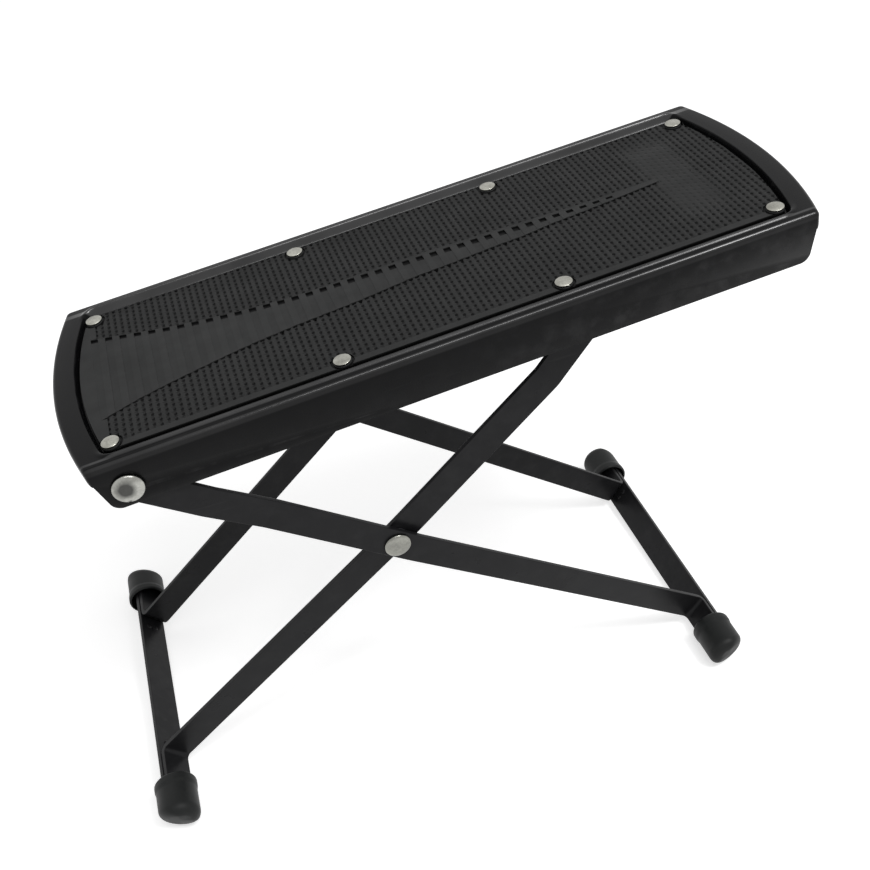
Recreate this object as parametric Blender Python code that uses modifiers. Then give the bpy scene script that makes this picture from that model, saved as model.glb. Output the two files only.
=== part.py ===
"""Folding guitar footrest: a pressed steel platform on a scissor of flat steel arms.

Metres, +Z up. X runs along the platform towards its raised end, Y across it, and the
object stands on z = 0. The outer arms carry the platform at its left pivot. The inner
arms carry a cross rod that holds the platform up on the notched racks under it.
"""

import math

import bmesh
import bpy
from mathutils import Matrix, Vector

# General fits
FIT_GAP = 0.0003
HOLE_CLEARANCE = 0.0003
CUT_OVERRUN = 0.004

# Platform plate, pressed from one sheet
PLATE_LENGTH = 0.300
PLATE_WIDTH = 0.110
END_BULGE = 0.0085
SHEET = 0.0012
FOLD_RADIUS = 0.0018
PLAN_CORNER = 0.001
SKIRT_DEPTH = 0.0205
LIP_DEPTH = 0.004
SKIRT_END_SLOPE = 0.0031
SKIRT_END_ROUND = 0.0034
PIVOT_INSET = 0.0202
PIVOT_BELOW_TOP = 0.0124

# Raised bead round the mat's recess
BEAD_SIDE_INSET = 0.0042
BEAD_END_INSET = 0.0073
BEAD_HALF_WIDTH = 0.0019
BEAD_HEIGHT = 0.0009
BEAD_CORNER = 0.006
RECESS_DEPTH = 0.0028
RECESS_WALL_RUN = 0.0014

# Tread mat and the rivets that hold it
MAT_THICKNESS = 0.0015
MAT_EDGE_GAP = 0.0008
MAT_CORNER = 0.0025
MAT_RIVETS_PER_SIDE = 4
MAT_RIVET_END_INSET = 0.01935
MAT_RIVET_INSET = 0.0128
MAT_RIVET_HEAD_RADIUS = 0.0038
MAT_RIVET_HEAD_HEIGHT = 0.0008
MAT_RIVET_SHANK_RADIUS = 0.002
MAT_RIVET_TAIL_RADIUS = 0.0029
MAT_RIVET_TAIL_HEIGHT = 0.0008

# Scissor arms, flat strip
ARM_WIDTH = 0.0132
ARM_SHEET = 0.002
PIVOT_TO_CROSSING = 0.1147
CROSSING_TO_RIGHT_FOOT = 0.181
CROSSING_TO_LEFT_FOOT = 0.1527
CROSSING_TO_ROD = 0.1335
OUTER_ARM_ANGLE = math.radians(34.55)
OUTER_JOGGLE_START = 0.031
OUTER_JOGGLE_RUN = 0.026
OUTER_FOOT_SPLAY = 0.0053
INNER_FOOT_SPLAY = 0.0046
CROSSING_FLAT = 0.009
INNER_KNEE_RUN = 0.025
INNER_TOP_FLAT = 0.017
ARM_SWING_GAP = 0.001
ARM_BEND_RADIUS = 0.010
FOOT_BEND_RADIUS = 0.002

# Rivets of the scissor
SCISSOR_SHANK_RADIUS = 0.0025
SCISSOR_TAIL_RADIUS = 0.0045
SCISSOR_TAIL_HEIGHT = 0.0014
PIVOT_HEAD_RADIUS = 0.006
PIVOT_HEAD_HEIGHT = 0.0024
CROSSING_HEAD_RADIUS = 0.0056
CROSSING_HEAD_HEIGHT = 0.0016
HEAD_RIM = 0.0005
WASHER_RADIUS = 0.0058
WASHER_THICKNESS = 0.0013

# Cross rod and the notched racks it rests in
ROD_RADIUS = 0.003
ROD_TENON_RADIUS = 0.0022
ROD_HEAD_RADIUS = 0.0038
ROD_HEAD_HEIGHT = 0.0009
ROD_HEAD_ROOM = 0.0032
ROD_DROP = 0.0028
RACK_SHEET = 0.0015
RACK_NOTCHES = 5
RACK_PITCH = 0.010
RACK_NOTCH_DEPTH = 0.003
RACK_WEB_GAP = 0.0010
RACK_FLANGE_EDGE = 0.0043
RACK_END_MARGIN = 0.0075
RACK_BEND_RADIUS = 0.0008

# Feet
FOOT_AXIS_HEIGHT = 0.009
FOOT_BAR_WIDTH = 0.0138
FOOT_BAR_SHEET = 0.002
BOOT_RADIUS = 0.0094
BOOT_LENGTH = 0.0202
BOOT_MOUTH_OUT = 0.003
BOOT_END_WALL = 0.0035
BOOT_SHOULDER = 0.003
BOOT_END_ROUND = 0.0045
TAB_END_GAP = 0.003

# Facet counts
ARC_STEPS = 6
CORNER_STEPS = 4
FOLD_STEPS = 3
BEAD_STEPS = 3
WALL_STEPS = 5
BEND_STEPS = 3
ROUND_END_STEPS = 12
HOLE_SIDES = 16
RIVET_SIDES = 20
MAT_RIVET_SIDES = 14
DOME_STEPS = 3
BOOT_SIDES = 28
BOOT_ROUND_STEPS = 3

# Shares
SKIRT_END_SHARES = ((0.0, 1.0), (0.16, 0.55), (0.5, 0.2), (1.0, 0.0))
RIVET_TAIL_SHARE = 0.75

NEAR = -1
FAR = 1
SIDES = {"near": NEAR, "far": FAR}

FINISHES = {
    "black_paint": ((0.012, 0.012, 0.013), 0.42, 0.0),
    "black_rubber": ((0.022, 0.024, 0.024), 0.75, 0.0),
    "bright_rivet": ((0.80, 0.79, 0.74), 0.28, 1.0),
    "zinc_steel": ((0.55, 0.56, 0.57), 0.38, 1.0),
}

# Sizes that follow from the ones above
END_RADIUS = ((PLATE_WIDTH / 2) ** 2 + END_BULGE ** 2) / (2 * END_BULGE)
PLATE_CENTRE = PLATE_LENGTH / 2 - PIVOT_INSET
RECESS_FLOOR = PIVOT_BELOW_TOP - RECESS_DEPTH
MAT_TOP = RECESS_FLOOR + FIT_GAP + MAT_THICKNESS
MAT_SIDE_INSET = BEAD_SIDE_INSET + BEAD_HALF_WIDTH + RECESS_WALL_RUN + MAT_EDGE_GAP
MAT_END_INSET = BEAD_END_INSET + BEAD_HALF_WIDTH + RECESS_WALL_RUN + MAT_EDGE_GAP
MAT_RIVET_PITCH = (PLATE_LENGTH - 2 * MAT_RIVET_END_INSET) / (MAT_RIVETS_PER_SIDE - 1)
RACK_FLANGE_TOP = RECESS_FLOOR - SHEET - FIT_GAP
RACK_TIP = ROD_RADIUS + FIT_GAP - ROD_DROP

# Depths in from the outer face of the near or far skirt, each to a piece's outer face
OUTER_AT_PIVOT = SHEET + FIT_GAP
OUTER_AT_CROSSING = SHEET + FIT_GAP + CROSSING_HEAD_HEIGHT + FIT_GAP
OUTER_AT_FOOT = OUTER_AT_CROSSING + OUTER_FOOT_SPLAY
INNER_AT_CROSSING = OUTER_AT_CROSSING + ARM_SHEET + WASHER_THICKNESS + 2 * FIT_GAP
INNER_AT_FOOT = INNER_AT_CROSSING + INNER_FOOT_SPLAY


def outer_depth(reach):
    """Depth of the outer arm's outer face at a distance past the crossing."""
    return OUTER_AT_CROSSING + OUTER_FOOT_SPLAY * reach / CROSSING_TO_RIGHT_FOOT


INNER_KNEE = CROSSING_TO_ROD - INNER_TOP_FLAT - INNER_KNEE_RUN
INNER_AT_KNEE = outer_depth(INNER_KNEE) + ARM_SHEET + ARM_SWING_GAP
INNER_AT_ROD = (outer_depth(CROSSING_TO_ROD) + ARM_SHEET + ARM_SWING_GAP
                + ROD_HEAD_HEIGHT + ROD_HEAD_ROOM)
RACK_WEB_DEPTH = max(INNER_AT_ROD + ARM_SHEET + RACK_WEB_GAP,
                     MAT_RIVET_INSET + MAT_RIVET_TAIL_RADIUS + RACK_BEND_RADIUS + FIT_GAP)
STACK_OUT = FOOT_BAR_SHEET / 2
STACK_IN = FOOT_BAR_SHEET / 2 + FIT_GAP + ARM_SHEET
BORE_RADIUS = math.hypot(FOOT_BAR_WIDTH / 2, STACK_IN) + FIT_GAP


def clear_scene():
    """Remove every object, mesh and curve that the file starts with."""
    for item in list(bpy.data.objects):
        bpy.data.objects.remove(item, do_unlink=True)


class Workshop:
    """The collections, materials and parents that every piece is added to."""

    def __init__(self):
        self.pieces = self._collection("guitar_footrest")
        self.cutters = self._collection("cutters")
        self.materials = {name: self._material(name, *values) for name, values in FINISHES.items()}

    @staticmethod
    def _collection(name):
        collection = bpy.data.collections.new(name)
        bpy.context.scene.collection.children.link(collection)
        return collection

    @staticmethod
    def _material(name, colour, roughness, metallic):
        material = bpy.data.materials.new(name)
        material.use_nodes = True
        shader = material.node_tree.nodes["Principled BSDF"]
        shader.inputs["Base Color"].default_value = (*colour, 1.0)
        shader.inputs["Roughness"].default_value = roughness
        shader.inputs["Metallic"].default_value = metallic
        material.diffuse_color = (*colour, 1.0)
        return material

    def empty(self, name, parent=None, location=(0, 0, 0), turn=0.0):
        """Add an empty that pieces hang on, turned about Y."""
        item = bpy.data.objects.new(name, None)
        item.empty_display_size = ARM_WIDTH
        item.parent = parent
        item.location = location
        item.rotation_euler = (0, turn, 0)
        self.pieces.objects.link(item)
        return item

    def piece(self, name, mesh, parent, finish, location=(0, 0, 0), rotation=(0, 0, 0)):
        """Add one piece of the footrest."""
        item = bpy.data.objects.new(name, mesh)
        item.data.materials.append(self.materials[finish])
        item.parent = parent
        item.location = location
        item.rotation_euler = rotation
        self.pieces.objects.link(item)
        mesh.shade_smooth()
        mesh.set_sharp_from_angle(angle=math.radians(32))
        return item

    def cutter(self, name, mesh, parent, location=(0, 0, 0)):
        """Add a shape that only cuts others."""
        item = bpy.data.objects.new(name, mesh)
        item.parent = parent
        item.location = location
        item.hide_render = True
        item.display_type = "WIRE"
        self.cutters.objects.link(item)
        return item


def carve(target, cutter, operation="DIFFERENCE"):
    """Cut or trim a piece with a cutter."""
    modifier = target.modifiers.new(cutter.name, "BOOLEAN")
    modifier.operation = operation
    modifier.object = cutter


def mesh_of(builder, name):
    """Turn a finished bmesh into mesh data with its faces pointing out."""
    bmesh.ops.recalc_face_normals(builder, faces=builder.faces)
    mesh = bpy.data.meshes.new(name)
    builder.to_mesh(mesh)
    builder.free()
    return mesh


def prism(name, outlines, half, turn=None):
    """Fill flat outlines, holes among them, and give them depth both ways."""
    curve = bpy.data.curves.new(name, "CURVE")
    curve.dimensions = "2D"
    curve.fill_mode = "BOTH"
    curve.extrude = half
    for outline in outlines:
        spline = curve.splines.new("POLY")
        spline.points.add(len(outline) - 1)
        for point, (x, y) in zip(spline.points, outline):
            point.co = (x, y, 0, 1)
        spline.use_cyclic_u = True
    holder = bpy.data.objects.new(name, curve)
    bpy.context.scene.collection.objects.link(holder)
    graph = bpy.context.evaluated_depsgraph_get()
    mesh = bpy.data.meshes.new_from_object(holder.evaluated_get(graph))
    bpy.data.objects.remove(holder, do_unlink=True)
    builder = bmesh.new()
    builder.from_mesh(mesh)
    bpy.data.meshes.remove(mesh)
    bmesh.ops.remove_doubles(builder, verts=builder.verts, dist=FIT_GAP / 100)
    if turn is not None:
        bmesh.ops.transform(builder, matrix=turn, verts=builder.verts)
    return mesh_of(builder, name)


# The plane an outline is drawn in: X and Z for a blank, Y and Z for a section
BLANK_PLANE = Matrix(((1, 0, 0), (0, 0, -1), (0, 1, 0))).to_4x4()
SECTION_PLANE = Matrix(((0, 0, 1), (1, 0, 0), (0, 1, 0))).to_4x4()


def circle(x, y, radius, sides=HOLE_SIDES):
    """Points of a circle whose flats touch the true radius."""
    outer = radius / math.cos(math.pi / sides)
    angles = (2 * math.pi * i / sides for i in range(sides))
    return [(x + outer * math.cos(a), y + outer * math.sin(a)) for a in angles]


def rods(name, centres, radius, half, axis):
    """Parallel round bars, used to cut holes or notches."""
    turn = {"Y": Matrix.Rotation(math.pi / 2, 4, "X"), "Z": Matrix.Identity(4)}[axis]
    builder = bmesh.new()
    outer = radius / math.cos(math.pi / HOLE_SIDES)
    for centre in centres:
        place = Matrix.Translation(Vector(centre)) @ turn
        bmesh.ops.create_cone(builder, cap_ends=True, segments=HOLE_SIDES, radius1=outer,
                              radius2=outer, depth=2 * half, matrix=place)
    return mesh_of(builder, name)


def turned(shop, name, profile, parent, finish, location, outward, sides=RIVET_SIDES):
    """Turn a profile of (radius, height) points, top to bottom, about an axis."""
    builder = bmesh.new()
    points = [builder.verts.new((radius, 0, height)) for radius, height in profile]
    for first, second in zip(points, points[1:]):
        builder.edges.new((first, second))
    mesh = bpy.data.meshes.new(name)
    builder.to_mesh(mesh)
    builder.free()
    item = bpy.data.objects.new(name, mesh)
    mesh.materials.append(shop.materials[finish])
    item.parent = parent
    item.location = location
    item.rotation_euler = (-math.pi / 2 * outward, 0, 0)
    shop.pieces.objects.link(item)
    screw = item.modifiers.new("turn", "SCREW")
    screw.steps = sides
    screw.render_steps = sides
    screw.use_merge_vertices = True
    screw.merge_threshold = FIT_GAP / 100
    screw.use_smooth_shade = True
    return item


def arc(centre, radius, start, end, steps):
    """Points of an arc, both ends included."""
    turns = (start + (end - start) * i / steps for i in range(steps + 1))
    return [(centre[0] + radius * math.cos(a), centre[1] + radius * math.sin(a)) for a in turns]


def filleted(corners):
    """Round the inner corners of an open path of (x, y, radius) corners."""
    path = [Vector(corners[0][:2])]
    for before, corner, after in zip(corners, corners[1:], corners[2:]):
        here = Vector(corner[:2])
        back = (Vector(before[:2]) - here).normalized()
        ahead = (Vector(after[:2]) - here).normalized()
        half = math.acos(max(-1.0, min(1.0, back.dot(ahead)))) / 2
        run = corner[2] / math.tan(half)
        middle = here + (back + ahead).normalized() * corner[2] / math.sin(half)
        start = here + back * run - middle
        end = here + ahead * run - middle
        sweep = math.atan2(start.cross(end), start.dot(end))
        for i in range(BEND_STEPS + 1):
            turn = Matrix.Rotation(sweep * i / BEND_STEPS, 2)
            path.append(middle + turn @ start)
    path.append(Vector(corners[-1][:2]))
    return path


def thickened(path, thickness):
    """The closed section of a strip whose middle follows an open path."""
    sides = ([], [])
    for i, point in enumerate(path):
        before = (point - path[i - 1]).normalized() if i else None
        after = (path[i + 1] - point).normalized() if i < len(path) - 1 else None
        along = ((before or after) + (after or before)).normalized()
        normal = Vector((-along.y, along.x))
        reach = thickness / 2 / normal.dot(Vector((-(after or before).y, (after or before).x)))
        sides[0].append(tuple(point + normal * reach))
        sides[1].append(tuple(point - normal * reach))
    return sides[0] + sides[1][::-1]


def plate_ring(side_inset, end_inset, corner, heights):
    """One closed ring round the plate, set in from its edge, at the given heights.

    heights has one value for each point from the middle of the end to the skirt.
    """
    half = PLATE_WIDTH / 2 - side_inset
    radius = END_RADIUS - end_inset
    middle = PLATE_LENGTH / 2 - END_RADIUS
    corner = max(corner, FIT_GAP)
    reach = math.sqrt((radius - corner) ** 2 - (half - corner) ** 2)
    turn = math.atan2(half - corner, reach)
    quarter = arc((middle, 0), radius, 0, turn, ARC_STEPS)
    quarter += arc((middle + reach, half - corner), corner, turn, math.pi / 2, CORNER_STEPS)[1:]
    quarter += [(middle + reach - run, half) for run in skirt_end_runs()]
    quarter = [(x, y, z) for (x, y), z in zip(quarter, heights)]
    ring = list(quarter)
    ring += [(-x, y, z) for x, y, z in reversed(quarter)]
    ring += [(-x, -y, z) for x, y, z in quarter[1:]]
    ring += [(x, -y, z) for x, y, z in reversed(quarter[1:])]
    return [(x + PLATE_CENTRE, y, z) for x, y, z in ring]


def skirt_end_runs():
    """How far in from the plate's corner each point of the skirt's end lies."""
    return [SKIRT_END_SLOPE + SKIRT_END_ROUND * share for share, _ in SKIRT_END_SHARES]


def level(height):
    """The heights of a flat ring."""
    return [height] * (ARC_STEPS + CORNER_STEPS + 1 + len(SKIRT_END_SHARES))


def lower_edge():
    """The heights of the plate's lower edge: a short lip at the ends, deep skirts beside."""
    lip = [PIVOT_BELOW_TOP - LIP_DEPTH] * (ARC_STEPS + CORNER_STEPS + 1)
    skirt = [PIVOT_BELOW_TOP - SKIRT_DEPTH + SKIRT_END_ROUND * share
             for _, share in SKIRT_END_SHARES]
    return lip + skirt


def loft(rings, name):
    """Join closed rings of equal point counts and cap both ends."""
    builder = bmesh.new()
    loops = [[builder.verts.new(point) for point in ring] for ring in rings]
    count = len(rings[0])
    for low, high in zip(loops, loops[1:]):
        for i in range(count):
            j = (i + 1) % count
            builder.faces.new((low[i], low[j], high[j], high[i]))
    builder.faces.new(loops[0])
    builder.faces.new(loops[-1])
    return mesh_of(builder, name)


def plate_top_rings(drop):
    """Rings from the flat border over the bead and down to the recess, lowered by drop."""
    rings = []
    for i in range(BEAD_STEPS):
        run = BEAD_HALF_WIDTH * (i / BEAD_STEPS - 1)
        lift = BEAD_HEIGHT * (1 + math.cos(math.pi * run / BEAD_HALF_WIDTH)) / 2
        rings.append((run, lift))
    wall = BEAD_HALF_WIDTH + RECESS_WALL_RUN
    for i in range(WALL_STEPS + 1):
        run = wall * i / WALL_STEPS
        fall = (BEAD_HEIGHT + RECESS_DEPTH) * (1 + math.cos(math.pi * run / wall)) / 2
        rings.append((run, fall - RECESS_DEPTH))
    return [plate_ring(BEAD_SIDE_INSET + run, BEAD_END_INSET + run, BEAD_CORNER - run,
                       level(PIVOT_BELOW_TOP + height - drop)) for run, height in rings]


def plate_fold_rings(radius, inset):
    """Rings round the folded edge, from the skirt up to the flat border."""
    rings = []
    for i in range(FOLD_STEPS + 1):
        turn = math.pi / 2 * i / FOLD_STEPS
        run = inset + radius * (1 - math.cos(turn))
        height = PIVOT_BELOW_TOP - FOLD_RADIUS + radius * math.sin(turn)
        rings.append(plate_ring(run, run, PLAN_CORNER - run, level(height)))
    return rings


def make_platform(shop, parent):
    """The pressed platform with its skirts, its bead and its holes."""
    outside = [plate_ring(0, 0, PLAN_CORNER, lower_edge())]
    outside += plate_fold_rings(FOLD_RADIUS, 0) + plate_top_rings(0)
    inside = [plate_ring(SHEET, SHEET, PLAN_CORNER - SHEET, lower_edge())]
    inside += plate_fold_rings(FOLD_RADIUS - SHEET, SHEET) + plate_top_rings(SHEET)
    mesh = loft(outside[::-1] + inside, "platform")
    plate = shop.piece("platform", mesh, parent, "black_paint")
    carve(plate, mat_rivet_cutter(shop, parent))
    pivot_hole = rods("pivot_hole_cutter", [(0, 0, 0)], SCISSOR_SHANK_RADIUS + HOLE_CLEARANCE,
                      PLATE_WIDTH / 2 + CUT_OVERRUN, "Y")
    carve(plate, shop.cutter("pivot_hole_cutter", pivot_hole, parent))
    return plate


def mat_rivet_places():
    """Name, x and side of each mat rivet, left to right."""
    places = []
    for label, side in SIDES.items():
        for i in range(MAT_RIVETS_PER_SIDE):
            x = PLATE_CENTRE + MAT_RIVET_PITCH * (i - (MAT_RIVETS_PER_SIDE - 1) / 2)
            places.append((f"mat_rivet_{label}_{i + 1}", x, side))
    return places


def across(side, depth):
    """Y of a point at a depth in from the outer face of a skirt."""
    return side * (PLATE_WIDTH / 2 - depth)


def mat_rivet_cutter(shop, parent):
    """The bars that make the rivet holes in the plate, the mat and the racks."""
    centres = [(x, across(side, MAT_RIVET_INSET), RECESS_FLOOR)
               for _, x, side in mat_rivet_places()]
    mesh = rods("mat_rivet_cutter", centres, MAT_RIVET_SHANK_RADIUS + HOLE_CLEARANCE,
                PIVOT_BELOW_TOP + CUT_OVERRUN, "Z")
    return shop.cutter("mat_rivet_cutter", mesh, parent)


def make_mat(shop, parent, cutter):
    """The rubber tread mat in the recess."""
    bottom = plate_ring(MAT_SIDE_INSET, MAT_END_INSET, MAT_CORNER, level(RECESS_FLOOR + FIT_GAP))
    top = plate_ring(MAT_SIDE_INSET, MAT_END_INSET, MAT_CORNER, level(MAT_TOP))
    mat = shop.piece("tread_mat", loft([bottom, top], "tread_mat"), parent, "black_rubber")
    carve(mat, cutter)
    return mat


def rivet_profile(head, height, shank, grip, tail, tail_height):
    """Profile of a domed rivet whose head sits on height zero."""
    rim = min(HEAD_RIM, height / 2)
    rise = height - rim
    dome = [(head * math.sin(a), rim + rise * math.cos(a))
            for a in (math.pi / 2 * i / DOME_STEPS for i in range(DOME_STEPS + 1))]
    body = [(head, 0), (shank, 0), (shank, -grip), (tail, -grip),
            (tail * RIVET_TAIL_SHARE, -grip - tail_height), (0, -grip - tail_height)]
    return [(0, height)] + dome[1:] + body


def make_mat_rivets(shop, parent):
    """Eight rivets through the mat and the plate, two of each side also through a rack."""
    seat = MAT_TOP + FIT_GAP
    plain_grip = seat - (RECESS_FLOOR - SHEET) + FIT_GAP
    rack_grip = plain_grip + FIT_GAP + RACK_SHEET
    for i, (name, x, side) in enumerate(mat_rivet_places()):
        in_rack = i % MAT_RIVETS_PER_SIDE >= MAT_RIVETS_PER_SIDE - 2
        profile = rivet_profile(MAT_RIVET_HEAD_RADIUS, MAT_RIVET_HEAD_HEIGHT,
                                MAT_RIVET_SHANK_RADIUS, rack_grip if in_rack else plain_grip,
                                MAT_RIVET_TAIL_RADIUS, MAT_RIVET_TAIL_HEIGHT)
        turned(shop, name, profile, parent, "bright_rivet",
               (x, across(side, MAT_RIVET_INSET), seat), 0, MAT_RIVET_SIDES)


def rack_notches(rod_x):
    """X of each notch, from the photographed height down."""
    return [rod_x + RACK_PITCH * i for i in range(RACK_NOTCHES)]


def make_racks(shop, parent, rivet_cutter, rod_x):
    """The notched angle strips under the platform that the cross rod rests in."""
    holes = [x for _, x, side in mat_rivet_places() if side == NEAR][-2:]
    length = holes[-1] - holes[0] + 2 * RACK_END_MARGIN
    middle = (holes[0] + holes[-1]) / 2
    notch = ROD_RADIUS + HOLE_CLEARANCE
    centres = [(x, 0, RACK_TIP + RACK_NOTCH_DEPTH - notch) for x in rack_notches(rod_x)]
    bars = rods("notch_cutter", centres, notch, PLATE_WIDTH / 2, "Y")
    notch_cutter = shop.cutter("notch_cutter", bars, parent)
    for label, side in SIDES.items():
        flange = RACK_FLANGE_TOP - RACK_SHEET / 2
        web = across(side, RACK_WEB_DEPTH + RACK_SHEET / 2)
        bend = RACK_BEND_RADIUS + RACK_SHEET / 2
        path = filleted([(across(side, MAT_RIVET_INSET - RACK_FLANGE_EDGE), flange, 0),
                         (web, flange, bend), (web, RACK_TIP, 0)])
        name = f"height_rack_{label}"
        mesh = prism(name, [thickened(path, RACK_SHEET)], length / 2, SECTION_PLANE)
        mesh.transform(Matrix.Translation((middle, 0, 0)))
        rack = shop.piece(name, mesh, parent, "zinc_steel")
        carve(rack, rivet_cutter)
        carve(rack, notch_cutter)


def arm_blank(shop, name, parent, round_x, foot_x, holes):
    """The flat blank of an arm: one round end, square at the foot, with its holes."""
    start = math.pi / 2
    sweep = math.copysign(math.pi, -round_x)
    outline = arc((round_x, 0), ARM_WIDTH / 2, start, start + sweep, ROUND_END_STEPS)
    outline += [(foot_x, outline[-1][1]), (foot_x, outline[0][1])]
    circles = [circle(x, 0, radius + HOLE_CLEARANCE) for x, radius in holes]
    mesh = prism(name, [outline] + circles, PLATE_WIDTH, BLANK_PLANE)
    return shop.cutter(name, mesh, parent)


def make_arms(shop, parent, kind, corners, blank):
    """A near and a far arm: the bent strip trimmed to its blank."""
    for label, side in SIDES.items():
        path = filleted([(x, across(side, depth + ARM_SHEET / 2), radius)
                         for x, depth, radius in corners])
        name = f"{kind}_arm_{label}"
        mesh = prism(name, [thickened(path, ARM_SHEET)], ARM_WIDTH)
        arm = shop.piece(name, mesh, parent, "black_paint")
        carve(arm, blank, "INTERSECT")


def tab_reach():
    """Depth of the end of an arm's tab, outside the skirt and inside its boot."""
    return -(BOOT_MOUTH_OUT + BOOT_LENGTH - BOOT_END_WALL - TAB_END_GAP)


def make_outer_arms(shop, parent):
    """The arms from the platform's pivot to the right foot."""
    joggle = OUTER_JOGGLE_START - PIVOT_TO_CROSSING
    tab = CROSSING_TO_RIGHT_FOOT - STACK_IN + ARM_SHEET / 2
    foot_bend = FOOT_BEND_RADIUS + ARM_SHEET / 2
    corners = [(-PIVOT_TO_CROSSING - ARM_WIDTH, OUTER_AT_PIVOT, 0),
               (joggle, OUTER_AT_PIVOT, ARM_BEND_RADIUS),
               (joggle + OUTER_JOGGLE_RUN, OUTER_AT_CROSSING, ARM_BEND_RADIUS),
               (CROSSING_FLAT, OUTER_AT_CROSSING, ARM_BEND_RADIUS),
               (tab, OUTER_AT_FOOT, foot_bend),
               (tab, tab_reach(), 0)]
    blank = arm_blank(shop, "outer_arm_blank", parent, -PIVOT_TO_CROSSING,
                      CROSSING_TO_RIGHT_FOOT + CUT_OVERRUN,
                      [(-PIVOT_TO_CROSSING, SCISSOR_SHANK_RADIUS), (0, SCISSOR_SHANK_RADIUS)])
    make_arms(shop, parent, "outer", corners, blank)


def make_inner_arms(shop, parent):
    """The arms from the left foot to the cross rod."""
    tab = -(CROSSING_TO_LEFT_FOOT - STACK_IN + ARM_SHEET / 2)
    foot_bend = FOOT_BEND_RADIUS + ARM_SHEET / 2
    corners = [(tab, tab_reach(), 0),
               (tab, INNER_AT_FOOT, foot_bend),
               (-CROSSING_FLAT, INNER_AT_CROSSING, ARM_BEND_RADIUS),
               (CROSSING_FLAT, INNER_AT_CROSSING, ARM_BEND_RADIUS),
               (INNER_KNEE, INNER_AT_KNEE, ARM_BEND_RADIUS),
               (INNER_KNEE + INNER_KNEE_RUN, INNER_AT_ROD, ARM_BEND_RADIUS),
               (CROSSING_TO_ROD + ARM_WIDTH, INNER_AT_ROD, 0)]
    blank = arm_blank(shop, "inner_arm_blank", parent, CROSSING_TO_ROD,
                      -CROSSING_TO_LEFT_FOOT - CUT_OVERRUN,
                      [(CROSSING_TO_ROD, ROD_TENON_RADIUS), (0, SCISSOR_SHANK_RADIUS)])
    make_arms(shop, parent, "inner", corners, blank)


def make_pivot_rivets(shop, parent):
    """The domed rivets that hinge the platform on the outer arms."""
    grip = FIT_GAP + OUTER_AT_PIVOT + ARM_SHEET + FIT_GAP
    profile = rivet_profile(PIVOT_HEAD_RADIUS, PIVOT_HEAD_HEIGHT, SCISSOR_SHANK_RADIUS, grip,
                            SCISSOR_TAIL_RADIUS, SCISSOR_TAIL_HEIGHT)
    for label, side in SIDES.items():
        turned(shop, f"pivot_rivet_{label}", profile, parent, "bright_rivet",
               (0, across(side, -FIT_GAP), 0), side)


def make_crossing(shop, parent):
    """The rivets where the arms cross, and the washers between the arms."""
    grip = FIT_GAP + INNER_AT_CROSSING + ARM_SHEET + FIT_GAP - OUTER_AT_CROSSING
    profile = rivet_profile(CROSSING_HEAD_RADIUS, CROSSING_HEAD_HEIGHT, SCISSOR_SHANK_RADIUS,
                            grip, SCISSOR_TAIL_RADIUS, SCISSOR_TAIL_HEIGHT)
    hole = circle(0, 0, SCISSOR_SHANK_RADIUS + HOLE_CLEARANCE)
    rim = circle(0, 0, WASHER_RADIUS, RIVET_SIDES)
    for label, side in SIDES.items():
        turned(shop, f"crossing_rivet_{label}", profile, parent, "bright_rivet",
               (0, across(side, OUTER_AT_CROSSING - FIT_GAP), 0), side)
        washer = prism(f"crossing_washer_{label}", [rim, hole], WASHER_THICKNESS / 2, BLANK_PLANE)
        depth = OUTER_AT_CROSSING + ARM_SHEET + FIT_GAP + WASHER_THICKNESS / 2
        shop.piece(f"crossing_washer_{label}", washer, parent, "zinc_steel",
                   (0, across(side, depth), 0))


def make_cross_rod(shop, parent):
    """The rod between the inner arms, shouldered and peened over at both ends."""
    face = PLATE_WIDTH / 2 - INNER_AT_ROD
    head = face + FIT_GAP
    shoulder = face - ARM_SHEET - FIT_GAP
    half = [(0, head + ROD_HEAD_HEIGHT), (ROD_HEAD_RADIUS * RIVET_TAIL_SHARE, head + ROD_HEAD_HEIGHT),
            (ROD_HEAD_RADIUS, head), (ROD_TENON_RADIUS, head), (ROD_TENON_RADIUS, shoulder),
            (ROD_RADIUS, shoulder)]
    profile = half + [(radius, -y) for radius, y in reversed(half)]
    turned(shop, "cross_rod", profile, parent, "zinc_steel", (CROSSING_TO_ROD, 0, 0), NEAR)


def boot_profile():
    """Profile of a boot, closed end up: the outside, the mouth, then the bore."""
    top = BOOT_LENGTH
    quarter = math.pi / 2
    end = arc((BOOT_RADIUS - BOOT_END_ROUND, top - BOOT_END_ROUND), BOOT_END_ROUND,
              quarter, 0, BOOT_ROUND_STEPS)
    lip = BOOT_RADIUS - BORE_RADIUS
    shoulder = min(BOOT_SHOULDER, lip)
    mouth = [(BOOT_RADIUS - shoulder * (1 - math.cos(a)), BOOT_SHOULDER * (1 - math.sin(a)))
             for a in (quarter * i / BOOT_ROUND_STEPS for i in range(BOOT_ROUND_STEPS))]
    bore = [(BORE_RADIUS, 0), (BORE_RADIUS, top - BOOT_END_WALL), (0, top - BOOT_END_WALL)]
    return [(0, top)] + end + mouth + bore


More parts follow.
